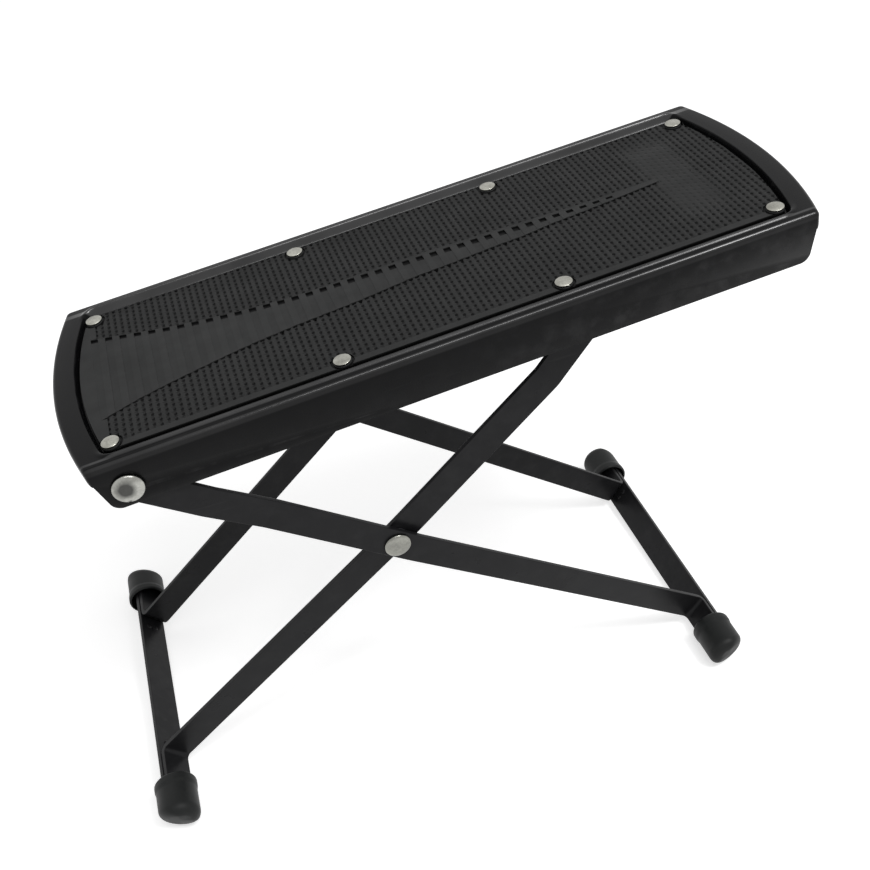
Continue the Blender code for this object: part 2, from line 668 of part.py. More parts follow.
def make_foot(shop, parent, label, x, ground):
    """A foot bar and the two rubber boots on its ends."""
    inside = PLATE_WIDTH / 2 + BOOT_MOUTH_OUT + BOOT_LENGTH - BOOT_END_WALL - FIT_GAP
    half_width = FOOT_BAR_WIDTH / 2
    section = [(x - FOOT_BAR_SHEET / 2, inside), (x - FOOT_BAR_SHEET / 2, -inside),
               (x + FOOT_BAR_SHEET / 2, -inside), (x + FOOT_BAR_SHEET / 2, inside)]
    mesh = prism(f"foot_bar_{label}", [section], half_width)
    shop.piece(f"foot_bar_{label}", mesh, parent, "black_paint")
    for side_label, side in SIDES.items():
        boot = turned(shop, f"boot_{label}_{side_label}", boot_profile(), parent, "black_rubber",
                      (x, side * (PLATE_WIDTH / 2 + BOOT_MOUTH_OUT), 0), side, BOOT_SIDES)
        carve(boot, ground)


def make_ground_cutter(shop, parent):
    """A slab under the floor plane, which flattens the boots where they stand."""
    builder = bmesh.new()
    bmesh.ops.create_cube(builder, size=1.0)
    reach = PLATE_LENGTH + PLATE_WIDTH
    size = Matrix.Diagonal((2 * reach, 2 * reach, PLATE_WIDTH, 1))
    bmesh.ops.transform(builder, matrix=Matrix.Translation((0, 0, -PLATE_WIDTH / 2)) @ size,
                        verts=builder.verts)
    return shop.cutter("ground_cutter", mesh_of(builder, "ground_cutter"), parent)


class Pose:
    """Where the scissor puts its pivots when the rod is in the photographed notch."""

    def __init__(self):
        rise = CROSSING_TO_RIGHT_FOOT * math.sin(OUTER_ARM_ANGLE)
        self.inner_angle = math.asin(rise / CROSSING_TO_LEFT_FOOT)
        self.crossing = Vector((PIVOT_TO_CROSSING * math.cos(OUTER_ARM_ANGLE), 0,
                                FOOT_AXIS_HEIGHT + rise))
        self.pivot = Vector((0, 0, self.crossing.z
                             + PIVOT_TO_CROSSING * math.sin(OUTER_ARM_ANGLE)))
        along = Vector((math.cos(self.inner_angle), 0, math.sin(self.inner_angle)))
        self.rod = self.crossing + CROSSING_TO_ROD * along
        span = self.rod - self.pivot
        self.tilt = math.atan2(span.z, span.x) + math.asin(ROD_DROP / span.length)
        self.rod_x = math.sqrt(span.length_squared - ROD_DROP ** 2)


def stand_at_origin(shop, root):
    """Move the whole footrest so that its box stands centred on the origin."""
    bpy.context.view_layer.update()
    graph = bpy.context.evaluated_depsgraph_get()
    spots = []
    for item in shop.pieces.objects:
        if item.type == "MESH":
            solid = item.evaluated_get(graph)
            spots += [solid.matrix_world @ vertex.co for vertex in solid.data.vertices]
    xs = [spot.x for spot in spots]
    root.location.x = -(min(xs) + max(xs)) / 2


def main():
    """Build the footrest."""
    clear_scene()
    shop = Workshop()
    pose = Pose()
    root = shop.empty("footrest_root")
    outer = shop.empty("outer_frame_axis", root, pose.crossing, OUTER_ARM_ANGLE)
    inner = shop.empty("inner_frame_axis", root, pose.crossing, -pose.inner_angle)
    plate = shop.empty("platform_axis", root, pose.pivot, -pose.tilt)
    ground = make_ground_cutter(shop, root)

    make_platform(shop, plate)
    rivet_cutter = bpy.data.objects["mat_rivet_cutter"]
    make_mat(shop, plate, rivet_cutter)
    make_mat_rivets(shop, plate)
    make_pivot_rivets(shop, plate)
    make_racks(shop, plate, rivet_cutter, pose.rod_x)

    make_outer_arms(shop, outer)
    make_crossing(shop, outer)
    make_foot(shop, outer, "right", CROSSING_TO_RIGHT_FOOT, ground)

    make_inner_arms(shop, inner)
    make_cross_rod(shop, inner)
    make_foot(shop, inner, "left", -CROSSING_TO_LEFT_FOOT, ground)

    stand_at_origin(shop, root)


main()
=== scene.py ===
"""Looks for a folding guitar footrest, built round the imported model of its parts.

Metres, +Z up. The platform's own axes start at its left pivot: X runs along it to the
raised end, Y across it and Z square to it. Each arm's own axes start where the arms cross.
Depths across the platform are measured inwards from a skirt's face.
"""

import logging
import math
from dataclasses import dataclass
from enum import Enum
from typing import Iterable, Sequence

import bmesh
import bpy
from bmesh.types import BMEdge, BMesh, BMFace, BMVert
from bpy.types import Material, Mesh, Node, NodeSocket, NodeTree, Object
from mathutils import Matrix, Vector


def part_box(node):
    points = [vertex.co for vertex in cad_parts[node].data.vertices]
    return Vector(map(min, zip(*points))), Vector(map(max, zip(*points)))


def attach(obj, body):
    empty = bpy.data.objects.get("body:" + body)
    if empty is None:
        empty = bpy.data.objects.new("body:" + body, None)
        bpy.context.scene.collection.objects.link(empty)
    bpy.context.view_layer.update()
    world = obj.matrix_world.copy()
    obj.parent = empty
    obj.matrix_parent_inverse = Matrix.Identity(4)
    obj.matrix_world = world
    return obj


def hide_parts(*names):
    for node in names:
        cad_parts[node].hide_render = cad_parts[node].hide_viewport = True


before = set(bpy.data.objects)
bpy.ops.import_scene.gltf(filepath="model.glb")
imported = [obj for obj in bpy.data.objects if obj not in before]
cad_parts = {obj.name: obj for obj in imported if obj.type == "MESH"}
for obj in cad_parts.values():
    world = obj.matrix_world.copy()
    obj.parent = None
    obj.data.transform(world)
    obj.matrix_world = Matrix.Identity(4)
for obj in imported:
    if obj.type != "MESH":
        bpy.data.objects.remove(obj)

LOG = logging.getLogger("guitar_footrest")
FINE = "_fine"

Pair = tuple[float, float]
Triple = tuple[float, float, float]
Quad = tuple[float, float, float, float]
Points = Sequence[Pair]
Constants = tuple[tuple[str, float], ...]
Links = dict[str, NodeSocket]


class Side(Enum):
    """The two long sides of the footrest, as the sign of Y."""

    NEAR = -1
    FAR = 1

    @property
    def label(self) -> str:
        """The side as the nodes' names give it."""
        return self.name.lower()


class Body(Enum):
    """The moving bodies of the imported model."""

    PLATFORM = "platform"
    OUTER = "outer_frame"
    INNER = "inner_frame"


class Slot(Enum):
    """The material slots."""

    PAINT = "black_paint"
    MAT = "mat_rubber"
    BOOT = "boot_rubber"
    RIVET = "bright_rivet"
    ZINC = "zinc_steel"


class Coat(Enum):
    """Finishes, each with the slot that it belongs to."""

    PLATE = (Slot.PAINT, "black_paint_plate")
    FRAME = (Slot.PAINT, "black_paint_frame")
    MAT = (Slot.MAT, "mat_rubber")
    BOOT = (Slot.BOOT, "boot_rubber")
    RIVET = (Slot.RIVET, "bright_rivet_mat")
    CROSSING = (Slot.RIVET, "bright_rivet_crossing")
    PIVOT = (Slot.RIVET, "bright_rivet_pivot")
    ZINC = (Slot.ZINC, "zinc_steel")


# Places

XZ_PLANE = Matrix(((0, 0, 1), (1, 0, 0), (0, 1, 0))).to_4x4()


def moved(x: float, y: float = 0.0, z: float = 0.0) -> Matrix:
    """A move along the axes."""
    return Matrix.Translation((x, y, z))


def turned(angle: float, axis: str) -> Matrix:
    """A turn about an axis."""
    return Matrix.Rotation(angle, 4, axis)


def clamped(value: float) -> float:
    """A value held between 0 and 1."""
    return max(0.0, min(1.0, value))


@dataclass(frozen=True)
class Sites:
    """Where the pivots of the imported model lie, and the sizes and axes that go with them."""

    pivot: Vector
    crossing: Vector
    rod: Vector
    rod_drop: float = 0.0028
    rod_face: float = 0.01441
    to_rod: float = 0.1335
    to_right_foot: float = 0.181
    to_left_foot: float = 0.1527
    arm_sheet: float = 0.002

    @classmethod
    def from_frame(cls) -> "Sites":
        """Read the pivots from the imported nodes' boxes."""
        spots = []
        for node in ("pivot_rivet_near", "crossing_washer_near", "cross_rod"):
            low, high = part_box(node)
            middle = (low + high) / 2
            spots.append(Vector((middle.x, 0, middle.z)))
        return cls(*spots)

    @property
    def tilt(self) -> float:
        """Rise of the platform towards its right end, in radians."""
        span = self.rod - self.pivot
        return math.atan2(span.z, span.x) + math.asin(self.rod_drop / span.length)

    @property
    def platform(self) -> Matrix:
        """The platform's own axes, at its pivot."""
        return moved(*self.pivot) @ turned(-self.tilt, "Y")

    @property
    def outer(self) -> Matrix:
        """The outer arms' own axes, with their foot on the +X side."""
        back = self.pivot - self.crossing
        return moved(*self.crossing) @ turned(math.atan2(back.z, -back.x), "Y")

    @property
    def inner(self) -> Matrix:
        """The inner arms' own axes, with their rod on the +X side."""
        ahead = self.rod - self.crossing
        return moved(*self.crossing) @ turned(-math.atan2(ahead.z, ahead.x), "Y")


# Modelling

def everything(bm: BMesh) -> list:
    """All of a bmesh's points, edges and faces."""
    return bm.verts[:] + bm.edges[:] + bm.faces[:]


def points_of(geometry: Iterable) -> list[BMVert]:
    """The points among some geometry."""
    return [item for item in geometry if isinstance(item, BMVert)]


def open_edges(bm: BMesh) -> list[BMEdge]:
    """The edges that end a sheet."""
    return [e for e in bm.edges if e.is_boundary]


def strung(bm: BMesh, points: Iterable[Triple]) -> list[BMEdge]:
    """Draw a wire through points."""
    verts = [bm.verts.new(point) for point in points]
    return [bm.edges.new(pair) for pair in zip(verts, verts[1:])]


def cleaned(bm: BMesh, distance: float = 1e-6) -> BMesh:
    """Merge doubles, then turn the faces outwards."""
    bmesh.ops.remove_doubles(bm, verts=bm.verts, dist=distance)
    bmesh.ops.recalc_face_normals(bm, faces=bm.faces)
    return bm


def face_up(bm: BMesh) -> None:
    """Turn every face of a level sheet upwards."""
    bm.normal_update()
    bmesh.ops.reverse_faces(bm, faces=[f for f in bm.faces if f.normal.z < 0])
    bm.normal_update()


def closed(bm: BMesh) -> BMesh:
    """Fill a shape's open end, then turn the faces outwards."""
    bmesh.ops.edgeloop_fill(bm, edges=open_edges(bm))
    bmesh.ops.recalc_face_normals(bm, faces=bm.faces)
    return bm


def spun(profile: Points, steps: int, axis: str = "Y") -> BMesh:
    """Turn a profile full circle.

    Args:
        profile: (radius, height) points, in order, the height along the axis.
        steps: Number of steps of the turn.
        axis: "Y" or "Z".

    Returns:
        The closed shape, its faces pointing outwards.
    """
    bm = bmesh.new()
    along = Vector((0, axis == "Y", axis == "Z"))
    strung(bm, (Vector((r, 0, 0)) + along * h for r, h in profile))
    bmesh.ops.spin(bm, geom=everything(bm), cent=(0, 0, 0), axis=along, dvec=(0, 0, 0),
                   angle=math.tau, steps=steps, use_merge=True, use_duplicate=False)
    return cleaned(bm)


def bent_strip(folds: Sequence[Triple], width: float, ends: Sequence[int] = (),
               steps: int = 6) -> BMesh:
    """Bend a flat strip along an open path.

    Args:
        folds: (x, y, fold radius) for each corner of the path.
        width: Width of the strip, along Z.
        ends: Indices of the path's end corners that get a half-round end.
        steps: Segments of each fold.

    Returns:
        The strip without thickness.
    """
    bm = bmesh.new()
    edges = strung(bm, ((x, y, -width / 2) for x, y, _ in folds))
    raised = bmesh.ops.extrude_edge_only(bm, edges=edges)["geom"]
    bmesh.ops.translate(bm, verts=points_of(raised), vec=(0, 0, width))
    for before, fold, after in zip(folds, folds[1:], folds[2:]):
        here, back, ahead = (Vector(p[:2]) for p in (fold, before, after))
        turn = (here - back).angle(ahead - here)
        crease = [e for e in bm.edges if all((v.co.xy - here).length < 1e-6 for v in e.verts)]
        rounded(bm, crease, fold[2] * math.tan(turn / 2), "EDGES", steps)
    for end in ends:
        spot = Vector(folds[end][:2])
        corners = [v for v in bm.verts if (v.co.xy - spot).length < 1e-6]
        rounded(bm, corners, width / 2 * 0.999, "VERTICES", 9)
    bmesh.ops.recalc_face_normals(bm, faces=bm.faces)
    return bm


def rounded(bm: BMesh, geometry: list, offset: float, affect: str, segments: int) -> None:
    """Round some edges or corners."""
    bmesh.ops.bevel(bm, geom=geometry, offset=offset, affect=affect, segments=segments,
                    profile=0.5, material=-1)


def bar(radius: float, length: float, place: Matrix) -> BMesh:
    """A round bar along its own Z, used to cut holes."""
    bm = bmesh.new()
    bmesh.ops.create_cone(bm, cap_ends=True, segments=28, radius1=radius, radius2=radius,
                          depth=length, matrix=place)
    return bm


def to_mesh(name: str, bm: BMesh) -> Mesh:
    """Turn a bmesh into a mesh and free it."""
    mesh = bpy.data.meshes.new(name)
    bm.to_mesh(mesh)
    bm.free()
    return mesh


def ordered_mesh(name: str, bm: BMesh) -> Mesh:
    """Like to_mesh, with points and faces sorted by place: an extrusion leaves that to chance."""
    def place(item: BMVert | BMFace) -> list[float]:
        points = [vert.co for vert in getattr(item, "verts", [item])]
        return [round(sum(axis) / len(points), 7) for axis in zip(*points)]

    for items in (bm.verts, bm.faces):
        for i, item in enumerate(sorted(items, key=place)):
            item.index = i
        items.sort()
        items.index_update()
    mesh = bpy.data.meshes.new(name)
    faces = [[vert.index for vert in face.verts] for face in bm.faces]
    mesh.from_pydata([vert.co[:] for vert in bm.verts], [], faces)
    bm.free()
    return mesh


def merged(parts: Iterable[BMesh]) -> BMesh:
    """Put several shapes in one bmesh and free them."""
    whole = bmesh.new()
    for part in parts:
        mesh = to_mesh("part", part)
        whole.from_mesh(mesh)
        bpy.data.meshes.remove(mesh)
    return whole


def add_object(name: str, bm: BMesh) -> Object:
    """Turn a bmesh into a linked object and free it."""
    item = bpy.data.objects.new(name, to_mesh(name, bm))
    bpy.context.scene.collection.objects.link(item)
    return item


def add_piece(node: str, bm: BMesh) -> Object:
    """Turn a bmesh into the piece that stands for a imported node."""
    return add_object(node + FINE, bm)


def thicken(item: Object, thickness: float, offset: float) -> None:
    """Give a sheet its thickness with a modifier."""
    solid = item.modifiers.new("thickness", "SOLIDIFY")
    solid.thickness = thickness
    solid.offset = offset
    solid.use_even_offset = True
    solid.use_quality_normals = True


def cut(item: Object, cutters: Iterable[BMesh]) -> None:
    """Cut shapes out of an object and put the result in its mesh."""
    tools = []
    for i, bm in enumerate(cutters):
        bmesh.ops.recalc_face_normals(bm, faces=bm.faces)
        tool = add_object(f"{item.name}_cut_{i}", bm)
        modifier = item.modifiers.new(tool.name, "BOOLEAN")
        modifier.operation = "DIFFERENCE"
        modifier.solver = "EXACT"
        modifier.object = tool
        tools.append(tool)
    bpy.context.view_layer.update()
    graph = bpy.context.evaluated_depsgraph_get()
    mesh = bpy.data.meshes.new_from_object(item.evaluated_get(graph))
    item.modifiers.clear()
    item.data = mesh
    for tool in tools:
        bpy.data.objects.remove(tool, do_unlink=True)


def shade(item: Object, angle: float) -> None:
    """Shade an object smooth but for the edges sharper than an angle in degrees."""
    item.data.shade_smooth()
    item.data.set_sharp_from_angle(angle=math.radians(angle))


def soften(item: Object, width: float, angle: float, flats: bool = True) -> None:
    """Round an object's sharp edges and, if asked, shade its flats as flats."""
    item.data.shade_smooth()
    edge = item.modifiers.new("edges", "BEVEL")
    edge.width = width
    edge.segments = 2
    edge.limit_method = "ANGLE"
    edge.angle_limit = math.radians(angle)
    edge.use_clamp_overlap = True
    edge.harden_normals = False
    if flats:
        weighted = item.modifiers.new("flats", "WEIGHTED_NORMAL")
        weighted.weight = 80
        weighted.keep_sharp = True


# Shader groups and finishes

class Nodes:
    """Adds and links shader nodes in one tree."""

    def __init__(self, tree: NodeTree) -> None:
        """Start from an empty tree."""
        self.tree = tree
        tree.nodes.clear()

    def add(self, kind: str, inputs: dict | None = None, **settings: object) -> Node:
        """Add a node.

        Args:
            kind: The node's type name, without "ShaderNode".
            inputs: A value or an output socket for each input, by name or index.
            settings: Attributes to set on the node.

        Returns:
            The node.
        """
        prefix = "" if kind.startswith("NodeGroup") else "ShaderNode"
        node = self.tree.nodes.new(prefix + kind)
        for key, value in settings.items():
            setattr(node, key, value)
        for key, value in (inputs or {}).items():
            if isinstance(value, NodeSocket):
                self.tree.links.new(value, node.inputs[key])
            else:
                node.inputs[key].default_value = value
        return node

    def maths(self, operation: str, first: object, second: object = 0.5) -> NodeSocket:
        """One step of arithmetic."""
        return self.add("Math", {0: first, 1: second}, operation=operation).outputs[0]

    def times(self, first: object, second: object) -> NodeSocket:
        """One value times another."""
        return self.maths("MULTIPLY", first, second)

    def mean(self, first: object, share: float, second: object) -> NodeSocket:
        """The first value's share and the rest of the second."""
        return self.maths("ADD", self.times(first, share), self.times(second, 1 - share))

    def noise(self, vector: object, scale: object, detail: float = 3.0,
              roughness: float = 0.55) -> NodeSocket:
        """A noise value from 0 to 1."""
        return self.add("TexNoise", {"Vector": vector, "Scale": scale, "Detail": detail,
                                     "Roughness": roughness}).outputs["Fac"]

    def between(self, value: object, low: float, high: float, to_low: object = 0.0,
                to_high: object = 1.0) -> NodeSocket:
        """A value mapped from one range to another and held inside it."""
        return self.add("MapRange", {"Value": value, "From Min": low, "From Max": high,
                                     "To Min": to_low, "To Max": to_high}).outputs["Result"]

    def blend(self, share: object, first: object, second: object) -> NodeSocket:
        """A mix of two colours."""
        return self.add("Mix", {0: share, 6: first, 7: second}, data_type="RGBA").outputs[2]

    def axis(self, vector: NodeSocket, name: str) -> NodeSocket:
        """One part of a vector."""
        return self.add("SeparateXYZ", {0: vector}).outputs[name]


class Group(Nodes):
    """A shader group while it is built."""

    def __init__(self, name: str, inputs: dict[str, object]) -> None:
        """Start the group.

        Args:
            name: The group's name.
            inputs: Default value for each input besides the vector; a tuple is a colour.
        """
        super().__init__(bpy.data.node_groups.new(name, "ShaderNodeTree"))
        self.tree.interface.new_socket("Vector", in_out="INPUT", socket_type="NodeSocketVector")
        for key, value in inputs.items():
            kind = "NodeSocketColor" if isinstance(value, tuple) else "NodeSocketFloat"
            socket = self.tree.interface.new_socket(key, in_out="INPUT", socket_type=kind)
            socket.default_value = value
        self.given = self.add("NodeGroupInput").outputs
        self.vector = self.given["Vector"]

    def close(self, outputs: dict[str, NodeSocket], kind: str = "NodeSocketFloat") -> NodeTree:
        """End the group in its outputs and give its tree."""
        for key in outputs:
            self.tree.interface.new_socket(key, in_out="OUTPUT", socket_type=kind)
        self.add("NodeGroupOutput", outputs)
        return self.tree


class Effects:
    """The shader groups that the finishes share."""

    def __init__(self) -> None:
        """Build each group once."""
        self.tone = self._tone()
        self.grain = self._grain()
        self.scratches = self._scratches()
        self.wear = self._wear()

    def _tone(self) -> NodeTree:
        """Slow colour variation in two sizes."""
        group = Group("patchy_tone", {"Colour": (0.5, 0.5, 0.5, 1), "Patch": (0.4, 0.4, 0.4, 1),
                                      "Scale": 20.0, "Share": 0.5})
        scale = group.given["Scale"]
        wide = group.noise(group.vector, scale, 4.0)
        fine = group.noise(group.vector, group.times(scale, 9.0), 2.0)
        patchy = group.between(group.mean(wide, 0.7, fine), 0.36, 0.62)
        share = group.times(patchy, group.given["Share"])
        mixed = group.blend(share, group.given["Colour"], group.given["Patch"])
        return group.close({"Colour": mixed}, "NodeSocketColor")

    def _grain(self) -> NodeTree:
        """Fine surface grain as a height and as a roughness."""
        group = Group("surface_grain", {"Scale": 900.0, "Rough Low": 0.3, "Rough High": 0.5})
        scale = group.given["Scale"]
        fine = group.noise(group.vector, scale, 3.0, 0.6)
        cell = group.add("TexVoronoi", {"Vector": group.vector, "Scale": group.times(scale, 0.45)},
                         feature="SMOOTH_F1").outputs["Distance"]
        slow = group.noise(group.vector, group.times(scale, 0.04))
        rough = group.between(slow, 0.35, 0.65, group.given["Rough Low"], group.given["Rough High"])
        return group.close({"Height": group.mean(fine, 0.7, cell), "Roughness": rough})

    def _scratches(self) -> NodeTree:
        """Sparse hairline scratches along the pattern's X."""
        group = Group("hairline_scratches", {"Scale": 300.0, "Amount": 0.5})
        stretched = group.add("Mapping", {"Vector": group.vector, "Scale": (0.05, 1, 1)}).outputs[0]
        lines = group.between(group.noise(stretched, group.given["Scale"], 2.0, 0.4), 0.66, 0.74)
        gate = group.between(group.noise(group.vector, 35.0, 2.0), 0.5, 0.62)
        return group.close({"Mask": group.times(group.times(lines, gate), group.given["Amount"])})

    def _wear(self) -> NodeTree:
        """Rubbed edges, broken up by noise."""
        group = Group("edge_wear", {"Scale": 160.0, "Amount": 0.5})
        sharp = group.between(group.add("NewGeometry").outputs["Pointiness"], 0.515, 0.57)
        broken = group.between(group.noise(group.vector, group.given["Scale"], 4.0), 0.45, 0.7)
        return group.close({"Mask": group.times(group.times(sharp, broken), group.given["Amount"])})


@dataclass(frozen=True)
class Finish:
    """A surface of two tones in patches with a fine grain; each kind adds its own marks."""

    effects: Effects
    coat: Coat
    colour: Quad
    patch: Quad
    rough: Pair
    patches: Pair
    grain: float
    bump: Pair
    constants: Constants
    turn: float = 0.0

    def make(self) -> Material:
        """Build the material."""
        material = bpy.data.materials.new(self.coat.value[1])
        material.use_nodes = True
        nodes = Nodes(material.node_tree)
        vector = nodes.add("Mapping", {"Vector": nodes.add("TexCoord").outputs["Object"],
                                       "Rotation": (0, self.turn, 0)}).outputs[0]
        tone = nodes.add("Group", {"Vector": vector, "Colour": self.colour, "Patch": self.patch,
                                   "Scale": self.patches[0], "Share": self.patches[1]},
                         node_tree=self.effects.tone)
        grain = nodes.add("Group", {"Vector": vector, "Scale": self.grain, "Rough Low": self.rough[0],
                                    "Rough High": self.rough[1]}, node_tree=self.effects.grain)
        linked = {"Base Color": tone.outputs[0], "Roughness": grain.outputs["Roughness"]}
        height = self.mark(nodes, vector, linked, grain.outputs["Height"])
        strength, distance = self.bump
        bump = nodes.add("Bump", {"Height": height, "Strength": strength, "Distance": distance})
        linked["Normal"] = bump.outputs[0]
        shader = nodes.add("BsdfPrincipled", {**dict(self.constants), **linked})
        nodes.add("OutputMaterial", {"Surface": shader.outputs[0]})
        return material

    def mark(self, nodes: Nodes, vector: NodeSocket, linked: Links, height: NodeSocket) -> NodeSocket:
        """Add the marks of this kind of surface.

        Args:
            nodes: The material's node adder.
            vector: The pattern's vector.
            linked: The shader's linked sockets, which are changed in place.
            height: The grain's height.

        Returns:
            The bump's height.
        """
        return height

    def masked(self, nodes: Nodes, tree: NodeTree, vector: NodeSocket, scale: float,
               amount: float) -> NodeSocket:
        """The mask of one of the shared effects."""
        inputs = {"Vector": vector, "Scale": scale, "Amount": amount}
        return nodes.add("Group", inputs, node_tree=tree).outputs[0]


@dataclass(frozen=True)
class Rolled:
    """Where the platform's edges get a painted sheen: extra coat gloss in stripes along the near fold,
    the near bead and the far recess wall, where the highlights fall.
    """

    middle: float
    reach: float
    height: float
    stripes: tuple[Triple, ...]

    def mask(self, nodes: Nodes, vector: NodeSocket) -> NodeSocket:
        """The painted sheen's gloss in the stripes, which fades out at their ends and comes and goes
        along them.
        """
        x, y, z = (nodes.axis(vector, name) for name in "XYZ")
        soft, rise, fade = 0.00025, 0.0008, 0.008
        total = nodes.times(nodes.between(nodes.noise(vector, 45.0), 0.3, 0.6, 0.75, 1.0),
                            nodes.between(z, self.height, self.height + rise))
        along = nodes.maths("ABSOLUTE", nodes.maths("SUBTRACT", x, self.middle))
        total = nodes.times(total, nodes.between(along, self.reach - fade, self.reach, 1.0, 0.0))
        marks = 0.0
        for low, high, share in self.stripes:
            inside = nodes.times(nodes.between(y, low - soft, low + soft),
                                 nodes.between(y, high - soft, high + soft, 1.0, 0.0))
            marks = nodes.maths("ADD", nodes.times(inside, share), marks)
        return nodes.times(total, marks)


@dataclass(frozen=True)
class Paint(Finish):
    """Satin black paint baked on steel."""

    patches: Pair = (14.0, 0.8)
    grain: float = 1500.0
    bump: Pair = (0.25, 0.00004)
    constants: Constants = (("Specular IOR Level", 0.12), ("Coat Roughness", 0.2), ("Coat IOR", 1.6))
    steel: Quad = (0.04, 0.04, 0.041, 1)
    rolled: Rolled | None = None

    def mark(self, nodes: Nodes, vector: NodeSocket, linked: Links, height: NodeSocket) -> NodeSocket:
        """Wear the edges through, scratch the paint and lay a painted sheen of coat gloss on the
        platform's edges.
        """
        wear = self.masked(nodes, self.effects.wear, vector, 130.0, 0.45)
        hair = self.masked(nodes, self.effects.scratches, vector, 420.0, 0.25)
        linked["Base Color"] = nodes.blend(nodes.maths("MAXIMUM", wear, hair), linked["Base Color"],
                                           self.steel)
        linked["Roughness"] = nodes.maths("ADD", linked["Roughness"], nodes.times(wear, 0.12))
        # Painted sheen: coat gloss in stripes where the highlights fall, standing in for them.
        if self.rolled:
            linked["Coat Weight"] = self.rolled.mask(nodes, vector)
        return nodes.maths("SUBTRACT", height, nodes.times(hair, 0.6))


@dataclass(frozen=True)
class MatRubber(Finish):
    """Moulded black rubber, with painted shade darkening it down between its studs."""

    patches: Pair = (30.0, 0.9)
    grain: float = 2200.0
    bump: Pair = (0.35, 0.00006)
    constants: Constants = (("Specular IOR Level", 0.12),)
    # Painted shade: the colour that the rubber fades to down in the grooves.
    groove: Quad = (0.002, 0.002, 0.0021, 1)
    floor_height: float = 0.0
    top_height: float = 0.0

    def mark(self, nodes: Nodes, vector: NodeSocket, linked: Links, height: NodeSocket) -> NodeSocket:
        """Paint shade into the grooves: the lower the surface, the darker."""
        low = nodes.between(nodes.axis(vector, "Z"), self.floor_height, self.top_height, 1.0, 0.0)
        linked["Base Color"] = nodes.blend(low, linked["Base Color"], self.groove)
        return height


@dataclass(frozen=True)
class BootRubber(Finish):
    """Soft black rubber of the foot boots, scuffed where it meets the floor."""

    patches: Pair = (60.0, 0.9)
    grain: float = 1700.0
    bump: Pair = (0.35, 0.00006)
    constants: Constants = (("Specular IOR Level", 0.2),)
    dust: Quad = (0.06, 0.058, 0.054, 1)
    dusty: float = 0.003

    def mark(self, nodes: Nodes, vector: NodeSocket, linked: Links, height: NodeSocket) -> NodeSocket:
        """Dust the rubber low down."""
        scuff = nodes.times(nodes.between(nodes.axis(vector, "Z"), 0.0, self.dusty, 1.0, 0.0),
                            nodes.between(nodes.noise(vector, 500.0), 0.45, 0.65, 0.0, 0.6))
        linked["Base Color"] = nodes.blend(scuff, linked["Base Color"], self.dust)
        return height


@dataclass(frozen=True)
class Plated(Finish):
    """Plated steel: bright rivet heads, one kind with a painted dark reflection in the middle of its
    dome, or duller zinc.
    """

    grain: float = 1300.0
    bump: Pair = (0.2, 0.00003)
    constants: Constants = (("Metallic", 1.0),)
    dull: Quad = (0.035, 0.035, 0.034, 1)
    centre: Quad | None = None

    def mark(self, nodes: Nodes, vector: NodeSocket, linked: Links, height: NodeSocket) -> NodeSocket:
        """Scratch the plating and paint a dark reflection into the middle of a head, inside its bright
        ring.
        """
        hair = self.masked(nodes, self.effects.scratches, vector, 900.0, 0.5)
        linked["Base Color"] = nodes.blend(hair, linked["Base Color"], self.patch)
        # Painted reflection: the dome's dark middle is laid into the colour.
        if self.centre:
            x, z, inner, outer = self.centre
            flat = nodes.add("CombineXYZ", {name: nodes.axis(vector, name) for name in "XZ"})
            away = nodes.add("VectorMath", {0: flat.outputs[0], 1: (x, 0, z)}, operation="DISTANCE")
            broken = nodes.times(nodes.noise(vector, 260.0), 0.0016)
            reach = nodes.maths("ADD", away.outputs["Value"], broken)
            near = nodes.between(reach, inner, outer, 0.9, 0.0)
            linked["Base Color"] = nodes.blend(near, linked["Base Color"], self.dull)
        return nodes.maths("SUBTRACT", height, hair)


# Platform

